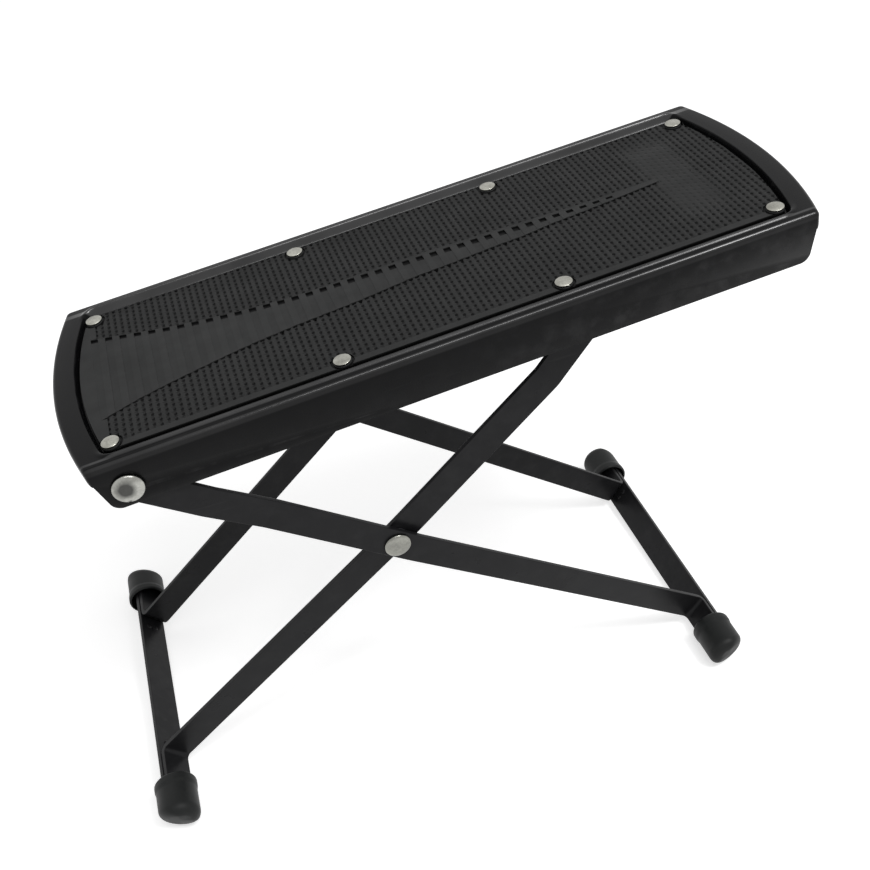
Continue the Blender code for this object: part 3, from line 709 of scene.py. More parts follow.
@dataclass(frozen=True)
class Plate:
    """The plan of the platform: straight sides, bowed ends and the mat rivets' holes."""

    length: float = 0.300
    width: float = 0.110
    end_bulge: float = 0.0085
    pivot_inset: float = 0.0202
    arc_steps: int = 20
    corner_steps: int = 8
    rivet_end_inset: float = 0.01935
    rivet_inset: float = 0.0128
    rivets_per_side: int = 4
    rivet_hole: float = 0.0023

    @property
    def half(self) -> float:
        """Half of the width, from the middle to a skirt's face."""
        return self.width / 2

    @property
    def end_radius(self) -> float:
        """Radius of the bowed ends."""
        return (self.half ** 2 + self.end_bulge ** 2) / (2 * self.end_bulge)

    @property
    def hub(self) -> float:
        """Centre of the right end's bow along X, from the middle."""
        return self.length / 2 - self.end_radius

    @property
    def centre(self) -> float:
        """Middle of the platform along X, from the pivot."""
        return self.length / 2 - self.pivot_inset

    @property
    def bow(self) -> float:
        """Centre of the right end's bow along X, from the pivot."""
        return self.centre + self.length / 2 - self.end_radius

    @property
    def rivets(self) -> dict[str, Pair]:
        """X and Y of each mat rivet, by name."""
        pitch = (self.length - 2 * self.rivet_end_inset) / (self.rivets_per_side - 1)
        middle = (self.rivets_per_side - 1) / 2
        return {f"mat_rivet_{side.label}_{i + 1}": (self.centre + pitch * (i - middle),
                                                    self.across(side, self.rivet_inset))
                for side in Side for i in range(self.rivets_per_side)}

    def across(self, side: Side, depth: float) -> float:
        """Y of a place at a depth in from a side's skirt."""
        return side.value * (self.half - depth)

    def corner_x(self, side_inset: float, end_inset: float, corner: float) -> float:
        """Distance from the middle to where the straight side begins."""
        half = self.half - side_inset - corner
        return self.hub + math.sqrt((self.end_radius - end_inset - corner) ** 2 - half ** 2)

    def quarter(self, bm: BMesh, side_inset: float, end_inset: float, corner: float,
                height: float) -> list[BMEdge]:
        """Draw a quarter of the outline by spinning a point.

        Args:
            bm: The bmesh that gets the wire.
            side_inset: How far the wire lies in from the sides.
            end_inset: How far it lies in from the ends.
            corner: Radius of its corner.
            height: Its height.

        Returns:
            The wire's edges.
        """
        half = self.half - side_inset
        reach = self.corner_x(side_inset, end_inset, corner) - self.hub
        turn = math.atan2(half - corner, reach)
        before = set(bm.edges)
        tip = bm.verts.new((self.hub + self.end_radius - end_inset, 0, height))
        for cent, angle, steps in (((self.hub, 0, height), turn, self.arc_steps),
                                   ((self.hub + reach, half - corner, height), math.pi / 2 - turn,
                                    self.corner_steps)):
            last = bmesh.ops.spin(bm, geom=[tip], cent=cent, axis=(0, 0, 1), dvec=(0, 0, 0),
                                  angle=angle, steps=steps)["geom_last"]
            tip = points_of(last)[0]
        bmesh.ops.extrude_vert_indiv(bm, verts=[tip])["verts"][0].co.x = 0
        return [e for e in bm.edges if e not in before]

    def whole(self, bm: BMesh) -> None:
        """Mirror a quarter into the whole plan and move it along to its place."""
        for axis in ("X", "Y"):
            bmesh.ops.mirror(bm, geom=everything(bm), merge_dist=1e-6, axis=axis)
        cleaned(bm, 1e-7)
        bmesh.ops.translate(bm, verts=bm.verts, vec=(self.centre, 0, 0))


@dataclass
class Assembly:
    """A group of pieces that move together."""

    sites: Sites
    finishes: dict[Coat, Material]
    plate: Plate = Plate()

    def finish(self, item: Object, place: Matrix, body: Body, coat: Coat) -> None:
        """Place a piece in its mesh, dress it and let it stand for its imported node.

        Args:
            item: The piece, named like its node.
            place: The axes that its mesh was made in.
            body: The body that it moves with.
            coat: Its finish.
        """
        item.data.transform(place)
        item.data.materials.clear()
        item.data.materials.append(self.finishes[coat])
        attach(item, body.value)
        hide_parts(item.name.removesuffix(FINE))
        LOG.info("%s: %d faces, rides on %s", item.name, len(item.data.polygons), body.value)


@dataclass
class Platform(Assembly):
    """The pressed steel platform with its skirts, its bead and its recess."""

    top: float = 0.0124
    sheet: float = 0.0012
    fold_radius: float = 0.0018
    fold_steps: int = 6
    plan_corner: float = 0.0014
    lip: float = 0.004
    skirt: float = 0.0205
    end_slope: float = 0.0031
    corner_drop: float = 0.0035
    end_round: float = 0.0034
    bead_side: float = 0.0042
    bead_end: float = 0.0082
    bead_half: float = 0.0019
    bead_height: float = 0.0009
    bead_corner: float = 0.0072
    bead_steps: int = 6
    recess: float = 0.0028
    wall_run: float = 0.0014
    end_wall: float = 0.0021
    wall_steps: int = 12
    pivot_hole: float = 0.0028
    edge_round: float = 0.0003
    # Painted sheen: Y offsets and gloss of the highlight stripes along the near fold, near bead and
    # far recess wall.
    rubbed: tuple[Triple, ...] = (
        (0.0001, 0.0011, 0.62), (-0.0013, -0.0001, 0.85), (-0.0026, -0.0001, 0.85))

    @property
    def recess_floor(self) -> float:
        """Height of the recess floor over the pivot."""
        return self.top - self.recess

    @property
    def stripes(self) -> tuple[Triple, ...]:
        """Y limits and gloss of the painted sheen's stripes: near fold, near bead and far recess wall.
        """
        crest = self.plate.half - self.bead_side
        return tuple((line + low, line + high, gloss) for line, (low, high, gloss)
                     in zip((-self.plate.half, -crest, crest), self.rubbed))

    def sections(self) -> list[Quad]:
        """Side inset, end inset, corner radius and height of each ring, outside first."""
        rings = [(0.0, 0.0, self.plan_corner, self.top - self.lip)]
        for i in range(self.fold_steps + 1):
            turn = math.pi / 2 * i / self.fold_steps
            run = self.fold_radius * (1 - math.cos(turn))
            height = self.top - self.fold_radius * (1 - math.sin(turn))
            rings.append((run, run, self.plan_corner + run * 0.4, height))
        for i in range(self.bead_steps):
            run = self.bead_half * (i / self.bead_steps - 1)
            lift = self.bead_height * (1 + math.cos(math.pi * run / self.bead_half)) / 2
            rings.append((self.bead_side + run, self.bead_end + run, self.bead_corner - run,
                          self.top + lift))
        for i in range(self.wall_steps + 1):
            share = i / self.wall_steps
            run = (self.bead_half + self.wall_run) * share
            fall = (self.bead_height + self.recess) * (1 + math.cos(math.pi * share)) / 2
            rings.append((self.bead_side + run, self.bead_end + self.end_wall * share,
                          self.bead_corner - run, self.recess_floor + fall))
        return rings

    def fade_bead(self, verts: Iterable[BMVert], inset: float, corner: float) -> None:
        """Let the bead die away round the corner, so that the ends are flat up to the recess."""
        start = self.plate.half - inset - corner
        for vert in verts:
            if vert.co.z > self.top:
                share = clamped((vert.co.y - start) / corner)
                vert.co.z = self.top + (vert.co.z - self.top) * share * share

    def slope_corners(self, bm: BMesh) -> None:
        """Let the lip run down round each corner into the skirt's sloped end."""
        start = self.plate.corner_x(0, 0, self.plan_corner)
        for vert in bm.verts:
            share = (vert.co.y - self.plate.half + self.plan_corner) / self.plan_corner
            on_lip = abs(vert.co.z - (self.top - self.lip)) < 1e-6
            if on_lip and share > 0 and vert.co.x > start - 1e-6:
                vert.co.z -= self.corner_drop * min(share, 1.0) ** 2

    def drop_skirts(self, bm: BMesh) -> None:
        """Pull both side skirts down from the lip and round their ends."""
        edges = [e for e in open_edges(bm) if e.verts[0].co.z > self.top - self.skirt
                 and all(abs(abs(v.co.y) - self.plate.half) < 1e-7 for v in e.verts)]
        reach = self.plate.corner_x(0, 0, self.plan_corner) - self.end_slope
        ends = []
        for vert in points_of(bmesh.ops.extrude_edge_only(bm, edges=edges)["geom"]):
            vert.co.z = self.top - self.skirt
            along = vert.co.x - self.plate.centre
            if abs(along) > reach * 0.9:
                vert.co.x = self.plate.centre + math.copysign(reach, along)
                ends.append(vert)
        rounded(bm, ends, self.end_round, "VERTICES", 7)

    def shell(self) -> BMesh:
        """The outer skin of the pressing."""
        bm = bmesh.new()
        wires = []
        for section in self.sections():
            wires.append(self.plate.quarter(bm, *section))
            self.fade_bead({v for e in wires[-1] for v in e.verts}, section[0], section[2])
        for low, high in zip(wires, wires[1:]):
            bmesh.ops.bridge_loops(bm, edges=low + high)
        self.slope_corners(bm)
        self.plate.whole(bm)
        floor = [e for e in open_edges(bm)
                 if all(abs(v.co.z - self.recess_floor) < 1e-6 for v in e.verts)]
        bmesh.ops.edgeloop_fill(bm, edges=floor)
        self.drop_skirts(bm)
        bmesh.ops.recalc_face_normals(bm, faces=bm.faces)
        if max(bm.faces, key=BMFace.calc_area).normal.z < 0:
            bmesh.ops.reverse_faces(bm, faces=bm.faces)
        return bm

    def build(self) -> None:
        """Make the platform."""
        item = add_piece("platform", self.shell())
        thicken(item, self.sheet, -1)
        cutters = [bar(self.plate.rivet_hole, 4 * self.sheet, moved(x, y, self.recess_floor))
                   for x, y in self.plate.rivets.values()]
        cut(item, cutters + [bar(self.pivot_hole, 2 * self.plate.width, turned(math.pi / 2, "X"))])
        soften(item, self.edge_round, 40, flats=False)
        self.finish(item, self.sites.platform, Body.PLATFORM, Coat.PLATE)


# Tread mat

@dataclass
class TreadMat(Assembly):
    """The moulded mat: staggered pits in two fields, either side of a ribbed, tapering band.

    The band's two edges are (x, depth from the near skirt) points in millimetres.
    """

    base: float = 0.0099
    ground: float = 0.01055
    field_top: float = 0.01115
    low_rib: float = 0.01128
    rim_top: float = 0.01132
    top: float = 0.0114
    lap: float = 0.0001
    side_inset: float = 0.0094
    end_inset: float = 0.0109
    corner: float = 0.004
    teeth_inset: float = 0.0093
    teeth_widths: Pair = (0.23, 0.17)
    pit_pitch: Pair = (0.0027053, 0.0030817)
    pit_first: Pair = (0.00193, 0.00135)
    pit_size: Pair = (0.00086, 0.00122)
    pit_depth: float = 0.00055
    saddle: float = 0.00028
    patch: Quad = (0.241, 0.012, 0.060, 0.036)
    field_x: Pair = (-0.0010, 0.2676)
    field_depth: Pair = (0.0125, 0.0996)
    left_rim: float = -0.0009
    rib: float = 0.002895
    rib_start: float = -0.0033475
    ribs: int = 82
    last_slot: int = 74
    slot_length: Triple = (0.0026, 0.0036, 0.18)
    slot_limit: Pair = (0.45, 0.55)
    near_gap: Triple = (0.0004, 0.0010, 0.06)
    margin: Triple = (0.0015, 0.075, 0.05)
    seat_gap: Pair = (0.0035, 0.0046)
    seat_clear: Pair = (0.0006, 0.001)
    teeth_end: float = 0.004
    cell_lap: Pair = (0.3, 0.45)
    pit_steps: tuple[Pair, ...] = ((0.00012, 0.12), (0.0003, 0.88))
    patch_blend: Triple = (0.8, 2.2, 3.0)
    band_far: Points = (
        (-5, 84.3), (3.8, 81.9), (15.5, 78.1), (27.1, 74.5), (38.6, 71.7), (50.2, 69.4), (61.8, 67.4),
        (73.3, 65.8), (84.8, 64.8), (107.8, 64.0), (131.1, 63.2), (154.3, 62.0), (177, 60.5),
        (200.8, 59.0), (235, 58.6))
    band_near: Points = (
        (-5, 27.2), (1.6, 29.7), (11, 33.1), (20.4, 35.6), (29.8, 37.8), (39, 39.7), (48.5, 41.6),
        (59.8, 43.4), (73.5, 45), (85.8, 45.9), (100.8, 46.9), (113, 48.4), (125.8, 50), (142, 50.6),
        (159.5, 51.9), (172.6, 52.2), (184.3, 53.8), (199.9, 54.7), (209.3, 55.3), (235, 57.6))

    @property
    def foot(self) -> float:
        """Height just inside the slab, where the relief's walls end."""
        return self.ground - self.lap

    @property
    def band_end(self) -> float:
        """Where the band's last rib ends."""
        return self.rib_start + self.rib * self.ribs

    @staticmethod
    def edge_depth(points: Points, x: float) -> float:
        """Depth of one of the band's edges.

        Args:
            points: (x, depth) points along the edge, in millimetres.
            x: Place along the platform, in metres.

        Returns:
            The depth in metres.
        """
        x *= 1000
        for (x0, y0), (x1, y1) in zip(points, points[1:]):
            if x <= x1:
                return (y0 + (y1 - y0) * (x - x0) / (x1 - x0)) / 1000
        return points[-1][1] / 1000

    def far_at(self, x: float) -> float:
        """Depth of the band's far edge."""
        return self.edge_depth(self.band_far, x)

    def near_at(self, x: float) -> float:
        """Depth of the band's near edge."""
        return self.edge_depth(self.band_near, x)

    def slot_at(self, x: float) -> float:
        """Depth at which the slots begin; they grow longer towards the right."""
        short, long, run = self.slot_length
        far = self.far_at(x)
        near = min(self.near_at(x), far - 2 * self.lap)
        limit = self.slot_limit[0] * near + self.slot_limit[1] * far
        return max(far - (short + (long - short) * clamped(x / run)), limit)

    def gap_at(self, x: float) -> float:
        """Width of the groove along the band's near edge, which opens towards the right."""
        narrow, wide, run = self.near_gap
        return narrow + (wide - narrow) * clamped(x / run)

    def strip_margin(self, x: float) -> float:
        """Width of the plain strip beyond the band, which opens towards the right."""
        width, start, run = self.margin
        return width * clamped((x - start) / run)

    def by_rivet(self, x: float, y: float, reach: float) -> bool:
        """Whether a place lies within reach of a rivet."""
        return any(math.hypot(x - rx, y - ry) < reach for rx, ry in self.plate.rivets.values())

    def walls(self, bm: BMesh, height: float) -> None:
        """Pull a sheet's open edges down to a height."""
        for vert in points_of(bmesh.ops.extrude_edge_only(bm, edges=open_edges(bm))["geom"]):
            vert.co.z = height

    def part(self, top: float, foot: float, limits: Sequence[tuple[int, float, int]] = ()) -> BMesh:
        """A plain solid part of the mat, trimmed from its plan.

        Args:
            top: Height of its flat top.
            foot: Height of its underside.
            limits: Axis, place and the side that is cleared, for each trimming plane.

        Returns:
            The part.
        """
        bm = bmesh.new()
        self.plate.quarter(bm, self.side_inset, self.end_inset, self.corner, top)
        self.plate.whole(bm)
        bmesh.ops.edgeloop_fill(bm, edges=bm.edges)
        face_up(bm)
        for axis, place, side in limits:
            along = Vector((axis == 0, axis == 1, 0))
            bmesh.ops.bisect_plane(bm, geom=everything(bm), plane_co=along * place,
                                   plane_no=along * side, clear_outer=True)
        self.walls(bm, foot)
        return closed(bm)

    def ribbed(self, bm: BMesh, lines: Iterable[Points], height: float) -> None:
        """Bridge lines of (x, depth) points, near to far, into a level sheet."""
        wires = [strung(bm, ((x, depth - self.plate.half, height) for x, depth in line))
                 for line in lines]
        for near, far in zip(wires, wires[1:]):
            bmesh.ops.bridge_loops(bm, edges=near + far)

    def raise_faces(self, bm: BMesh, faces: list[BMFace], lift: float) -> None:
        """Move faces up or down with walls of their own."""
        if faces:
            drawn = bmesh.ops.extrude_discrete_faces(bm, faces=faces)["faces"]
            bmesh.ops.translate(bm, verts=list({v for f in drawn for v in f.verts}), vec=(0, 0, lift))

    def band(self) -> BMesh:
        """The tapering band of raised and lowered ribs, with a slot at each lowered rib's end."""
        xs = [self.rib_start + self.rib * i for i in range(self.ribs + 1)]
        far = [self.far_at(x) for x in xs]
        near = [min(self.near_at(x), y - 2 * self.lap) for x, y in zip(xs, far)]
        strip = [y + 2 * self.lap + self.strip_margin(x) for x, y in zip(xs, far)]
        bm = bmesh.new()
        self.ribbed(bm, [list(zip(xs, line)) for line in (near, map(self.slot_at, xs), far, strip)],
                    self.low_rib)
        face_up(bm)
        raised, slots = [], []
        for face in bm.faces:
            middle = face.calc_center_median()
            column = int((middle.x - self.rib_start) / self.rib)
            depth = middle.y + self.plate.half
            if depth > self.far_at(middle.x):
                continue
            if column % 2 or column > self.last_slot:
                raised.append(face)
            elif depth > self.slot_at(middle.x):
                slots.append(face)
        self.walls(bm, self.foot)
        self.raise_faces(bm, raised, self.top - self.low_rib)
        self.raise_faces(bm, slots, self.ground - 2 * self.lap - self.low_rib)
        bmesh.ops.delete(bm, geom=[f for f in slots if f.is_valid], context="FACES")
        return bm

    def teeth(self) -> BMesh:
        """The teeth between the pits' columns, along the far edge and along the band's near edge."""
        bm = bmesh.new()
        pitch = self.pit_pitch[0]
        tip = self.plate.width - self.teeth_inset
        for i in range(int((self.field_x[1] - self.teeth_end) / pitch)):
            x = self.pit_first[0] + pitch * (i + 0.5)
            rows = []
            if not self.by_rivet(x, tip - self.plate.half, self.seat_gap[1] + self.seat_clear[0]):
                rows.append((self.field_depth[1], tip, self.teeth_widths[0]))
            if x < self.band_end:
                edge = self.near_at(x)
                rows.append((edge - self.gap_at(x) - self.lap, edge + self.lap, self.teeth_widths[1]))
            for low, high, share in rows:
                self.ribbed(bm, [[(x - pitch * share, depth), (x + pitch * share, depth)]
                                 for depth in (low, high)], self.field_top)
        face_up(bm)
        self.walls(bm, self.base)
        return bm

    def pit(self) -> Mesh:
        """One cell of the tread: a flat with an oval pit, low between it and its column's next."""
        bm = bmesh.new()
        half = [pitch / 2 for pitch in self.pit_pitch]
        made = bmesh.ops.create_circle(bm, cap_ends=True, segments=8, radius=1.0)
        bmesh.ops.scale(bm, verts=made["verts"], vec=(*self.pit_size, 1))
        mouth = next(iter(bm.faces))
        for vert in points_of(bmesh.ops.extrude_edge_only(bm, edges=list(mouth.edges))["geom"]):
            for axis in (0, 1):
                if abs(vert.co[axis]) > 1e-6:
                    vert.co[axis] = math.copysign(half[axis], vert.co[axis])
            if abs(vert.co.x) < 1e-6:
                vert.co.z = -self.saddle
        face_up(bm)
        for thickness, share in self.pit_steps:
            bmesh.ops.inset_individual(bm, faces=[mouth], thickness=thickness,
                                       depth=-self.pit_depth * share, use_even_offset=True)
        face_up(bm)
        return ordered_mesh("pit_cell", bm)

    def relief(self, x: float, depth: float) -> float:
        """Share of the pits' full depth, which is small in the smooth patch near the right end."""
        (middle_x, half_x, middle_y, half_y), (most, slope_x, slope_y) = self.patch, self.patch_blend
        along = clamped(slope_x * (1 - abs(x - middle_x) / half_x))
        across = clamped(slope_y * (1 - abs(depth - middle_y) / half_y))
        return 1 - most * along * across

    def edges_at(self, x: float, side: Side) -> Pair:
        """Lowest and highest depth of a field at a place along the platform."""
        if x > self.band_end:
            near_top = far_start = self.band_near[-1][1] / 1000
        else:
            near_top = self.near_at(x) - self.gap_at(x)
            far_start = self.far_at(x) + self.lap + self.strip_margin(x)
        if side is Side.FAR:
            return far_start, self.field_depth[1]
        return self.field_depth[0], near_top

    def trim(self, bm: BMesh, side: Side) -> None:
        """Draw the points that lie past a field's edge back onto that edge."""
        half = self.plate.half
        hub = self.plate.bow
        reach = self.plate.end_radius - self.end_inset - 2 * self.lap
        rivets, pad = self.plate.rivets.values(), self.seat_gap[1]
        for vert in bm.verts:
            drop = (self.field_top - vert.co.z) * self.relief(vert.co.x, vert.co.y + half)
            vert.co.z = self.field_top - drop
            vert.co.x = max(vert.co.x, self.field_x[0])
            low, high = self.edges_at(vert.co.x, side)
            vert.co.y = min(max(vert.co.y, low - half), max(low, high) - half)
            if Vector((vert.co.x - hub, vert.co.y)).length > reach:
                vert.co.x = hub + math.sqrt(reach ** 2 - vert.co.y ** 2)
            for x, y in rivets:
                away = Vector((vert.co.x - x, vert.co.y - y))
                if 1e-6 < away.length < pad:
                    away *= pad / away.length
                    vert.co.x, vert.co.y = x + away.x, y + away.y
        bmesh.ops.dissolve_degenerate(bm, dist=2e-5, edges=bm.edges)

    def pits(self, side: Side) -> BMesh:
        """One field of staggered pits, with walls down to the ground."""
        cell = self.pit()
        bm = bmesh.new()
        (pitch_x, pitch_y), (first_x, first_depth) = self.pit_pitch, self.pit_first
        half = self.plate.half
        hub = self.plate.bow
        reach = self.plate.end_radius - self.end_inset + pitch_x * self.cell_lap[0]
        lap = pitch_y * self.cell_lap[1]
        for i in range(-1, int(self.field_x[1] / pitch_x) + 2):
            for j in range(int(self.plate.width / pitch_y) + 1):
                x = first_x + pitch_x * i
                depth = first_depth + pitch_y * (j + (i % 2) / 2)
                low, high = self.edges_at(x, side)
                inside = low - lap < depth < high + lap
                if (not inside or math.hypot(x - hub, depth - half) > reach
                        or self.by_rivet(x, depth - half, self.seat_gap[1] - self.seat_clear[1])):
                    continue
                copy = cell.copy()
                copy.transform(moved(x, depth - half, self.field_top))
                bm.from_mesh(copy)
                bpy.data.meshes.remove(copy)
        bpy.data.meshes.remove(cell)
        bmesh.ops.remove_doubles(bm, verts=bm.verts, dist=2e-6)
        self.trim(bm, side)
        self.walls(bm, self.foot)
        return bm

    def seat(self, x: float, y: float) -> BMesh:
        """The round pad under one rivet head."""
        hole, radius, edge = self.plate.rivet_hole, self.seat_gap[0], 2 * self.lap
        bm = spun([(hole, self.foot), (hole, self.top), (radius - edge, self.top),
                   (radius, self.top - edge), (radius, self.foot)], 28, "Z")
        bmesh.ops.translate(bm, verts=bm.verts, vec=(x, y, 0))
        return bm

    def build(self) -> None:
        """Make the mat."""
        start, left, half = self.rib_start, self.left_rim, self.plate.half
        rivets = self.plate.rivets.values()
        ahead = [(0, start, -1), (0, left, 1)]
        rims = ([(0, start, 1)], ahead + [(1, self.near_at(start) - half, 1)],
                ahead + [(1, self.far_at(start) - half, -1)],
                [(0, left, -1), (1, self.field_depth[0] - half, 1)])
        solids = [(self.part(self.ground, self.base), self.plate.rivet_hole, self.base)]
        solids += [(self.part(self.rim_top, self.foot, limits), self.seat_gap[1], self.top)
                   for limits in rims]
        whole = merged([self.band(), self.teeth(), self.pits(Side.NEAR), self.pits(Side.FAR)]
                       + [self.seat(x, y) for x, y in rivets])
        for i, (solid, radius, height) in enumerate(solids):
            holder = add_object(f"mat_part_{i}", solid)
            through = 4 * (self.top - self.base)
            cut(holder, [bar(radius, through, moved(x, y, height)) for x, y in rivets])
            whole.from_mesh(holder.data)
            bpy.data.objects.remove(holder, do_unlink=True)
        item = add_piece("tread_mat", whole)
        shade(item, 48)
        self.finish(item, self.sites.platform, Body.PLATFORM, Coat.MAT)


# Rivets

def crown(radius: float, rise: float, base: float, steps: int = 5) -> list[Pair]:
    """Radius and height from the rim of a dome up to its top."""
    return [(radius * math.cos(a), base + rise * math.sin(a))
            for a in (math.pi / 2 * i / steps for i in range(steps))] + [(0, base + rise)]


@dataclass(frozen=True)
class RivetSize:
    """Sizes of a domed rivet."""

    head_radius: float
    head_height: float
    shank_radius: float
    grip: float
    tail_radius: float
    tail_height: float
    rim: float = 0.0004

    def profile(self) -> list[Pair]:
        """Radius and height from the crown of the head to the tail."""
        rim = min(self.rim, self.head_height / 2)
        head = crown(self.head_radius, self.head_height - rim, rim, 10)[::-1]
        shank = [(self.head_radius * 0.99, 0), (self.shank_radius, 0), (self.shank_radius, -self.grip)]
        return head + shank + crown(self.tail_radius, -self.tail_height, -self.grip)


@dataclass
class Rivets(Assembly):
    """Every rivet of the platform and the scissor."""

    mat_seat: float = 0.0117
    mat_rivet: RivetSize = RivetSize(0.0034, 0.0009, 0.002, 0.0036, 0.0029, 0.0008)
    rack_rivet: RivetSize = RivetSize(0.0034, 0.0009, 0.002, 0.0054, 0.0029, 0.0008)
    pivot: RivetSize = RivetSize(0.006, 0.0024, 0.0025, 0.0041, 0.0045, 0.0014)
    crossing: RivetSize = RivetSize(0.0056, 0.0016, 0.0025, 0.0065, 0.0045, 0.0014)
    crossing_seat: float = 0.0031
    pivot_seat: float = -0.0003
    racked: str = "34"
    steps: tuple[int, int] = (28, 40)

    def rivet(self, name: str, size: RivetSize, large: bool, place: Matrix, body: Body,
              coat: Coat) -> None:
        """Make one rivet.

        Args:
            name: Its name.
            size: Its sizes.
            large: Whether it is one of the scissor's large rivets.
            place: Its axes, with the head towards +Z.
            body: The body that it moves with.
            coat: Its finish.
        """
        item = add_piece(name, spun(size.profile(), self.steps[large], "Z"))
        shade(item, 50)
        self.finish(item, place, body, coat)

    def build(self) -> None:
        """Make the mat rivets, the pivot rivets and the crossing rivets."""
        platform, outer = self.sites.platform, self.sites.outer
        for name, (x, y) in self.plate.rivets.items():
            size = self.rack_rivet if name[-1] in self.racked else self.mat_rivet
            self.rivet(name, size, False, platform @ moved(x, y, self.mat_seat), Body.PLATFORM,
                       Coat.RIVET)
        for kind, size, seat, axes, body, coat in (
                ("pivot", self.pivot, self.pivot_seat, platform, Body.PLATFORM, Coat.PIVOT),
                ("crossing", self.crossing, self.crossing_seat, outer, Body.OUTER, Coat.CROSSING)):
            for side in Side:
                place = axes @ moved(0, self.plate.across(side, seat))
                self.rivet(f"{kind}_rivet_{side.label}", size, True,
                           place @ turned(-math.pi / 2 * side.value, "X"), body, coat)


# Arms

@dataclass
class Arms(Assembly):
    """The four arms of the scissor, bent from flat strip."""

    width: float = 0.0132
    pivot_to_crossing: float = 0.1147
    foot_gap: float = 0.0013
    bend: float = 0.010
    foot_bend: float = 0.003
    tab_depth: float = -0.0167
    hole: float = 0.0028
    rod_hole: float = 0.0025
    outer_depths: Triple = (0.0015, 0.0034, 0.0087)
    inner_depths: Triple = (0.0119, 0.0073, 0.00908)
    joggle: Pair = (0.031, 0.026)
    flat: float = 0.009
    knee: Pair = (0.0915, 0.025)
    edge_round: float = 0.00025
    cutter_at: float = 0.85
    cutter: float = 0.03

    def strip(self, name: str, folds: Sequence[Triple], side: Side, end: int, holes: Points,
              axes: Matrix, body: Body) -> None:
        """Make one arm.

        Args:
            name: The arm's name without its side.
            folds: X, depth in from the skirt's face and radius of each fold.
            side: The side that the arm is on.
            end: Index of its round end.
            holes: X and radius of each hole.
            axes: The arm's own axes.
            body: The body that it belongs to.
        """
        sheet = self.sites.arm_sheet
        path = [(x, side.value * (self.plate.half - depth - sheet / 2), radius)
                for x, depth, radius in folds]
        item = add_piece(f"{name}_{side.label}", bent_strip(path, self.width, [end]))
        thicken(item, sheet, 0)
        middle, turn = side.value * self.plate.half * self.cutter_at, turned(math.pi / 2, "X")
        cut(item, [bar(radius, self.cutter, moved(x, middle) @ turn) for x, radius in holes])
        soften(item, self.edge_round, 34)
        self.finish(item, axes, body, Coat.FRAME)

    def build(self) -> None:
        """Make the outer and inner arms."""
        sites, bend, flat = self.sites, self.bend, self.flat
        at_pivot, at_crossing, at_foot = self.outer_depths
        back = self.foot_gap + sites.arm_sheet / 2
        tab, left = sites.to_right_foot - back, back - sites.to_left_foot
        begin = self.joggle[0] - self.pivot_to_crossing
        outer = [(-self.pivot_to_crossing - self.width / 2, at_pivot, 0), (begin, at_pivot, bend),
                 (begin + self.joggle[1], at_crossing, bend), (flat, at_crossing, bend),
                 (tab, at_foot, self.foot_bend), (tab, self.tab_depth, 0)]
        at_left, at_cross, at_knee = self.inner_depths
        inner = [(left, self.tab_depth, 0), (left, at_left, self.foot_bend), (-flat, at_cross, bend),
                 (flat, at_cross, bend), (self.knee[0], at_knee, bend),
                 (sum(self.knee), sites.rod_face, bend),
                 (sites.to_rod + self.width / 2, sites.rod_face, 0)]
        for side in Side:
            self.strip("outer_arm", outer, side, 0,
                       [(-self.pivot_to_crossing, self.hole), (0, self.hole)],
                       sites.outer, Body.OUTER)
            self.strip("inner_arm", inner, side, -1, [(sites.to_rod, self.rod_hole), (0, self.hole)],
                       sites.inner, Body.INNER)


# Height adjustment

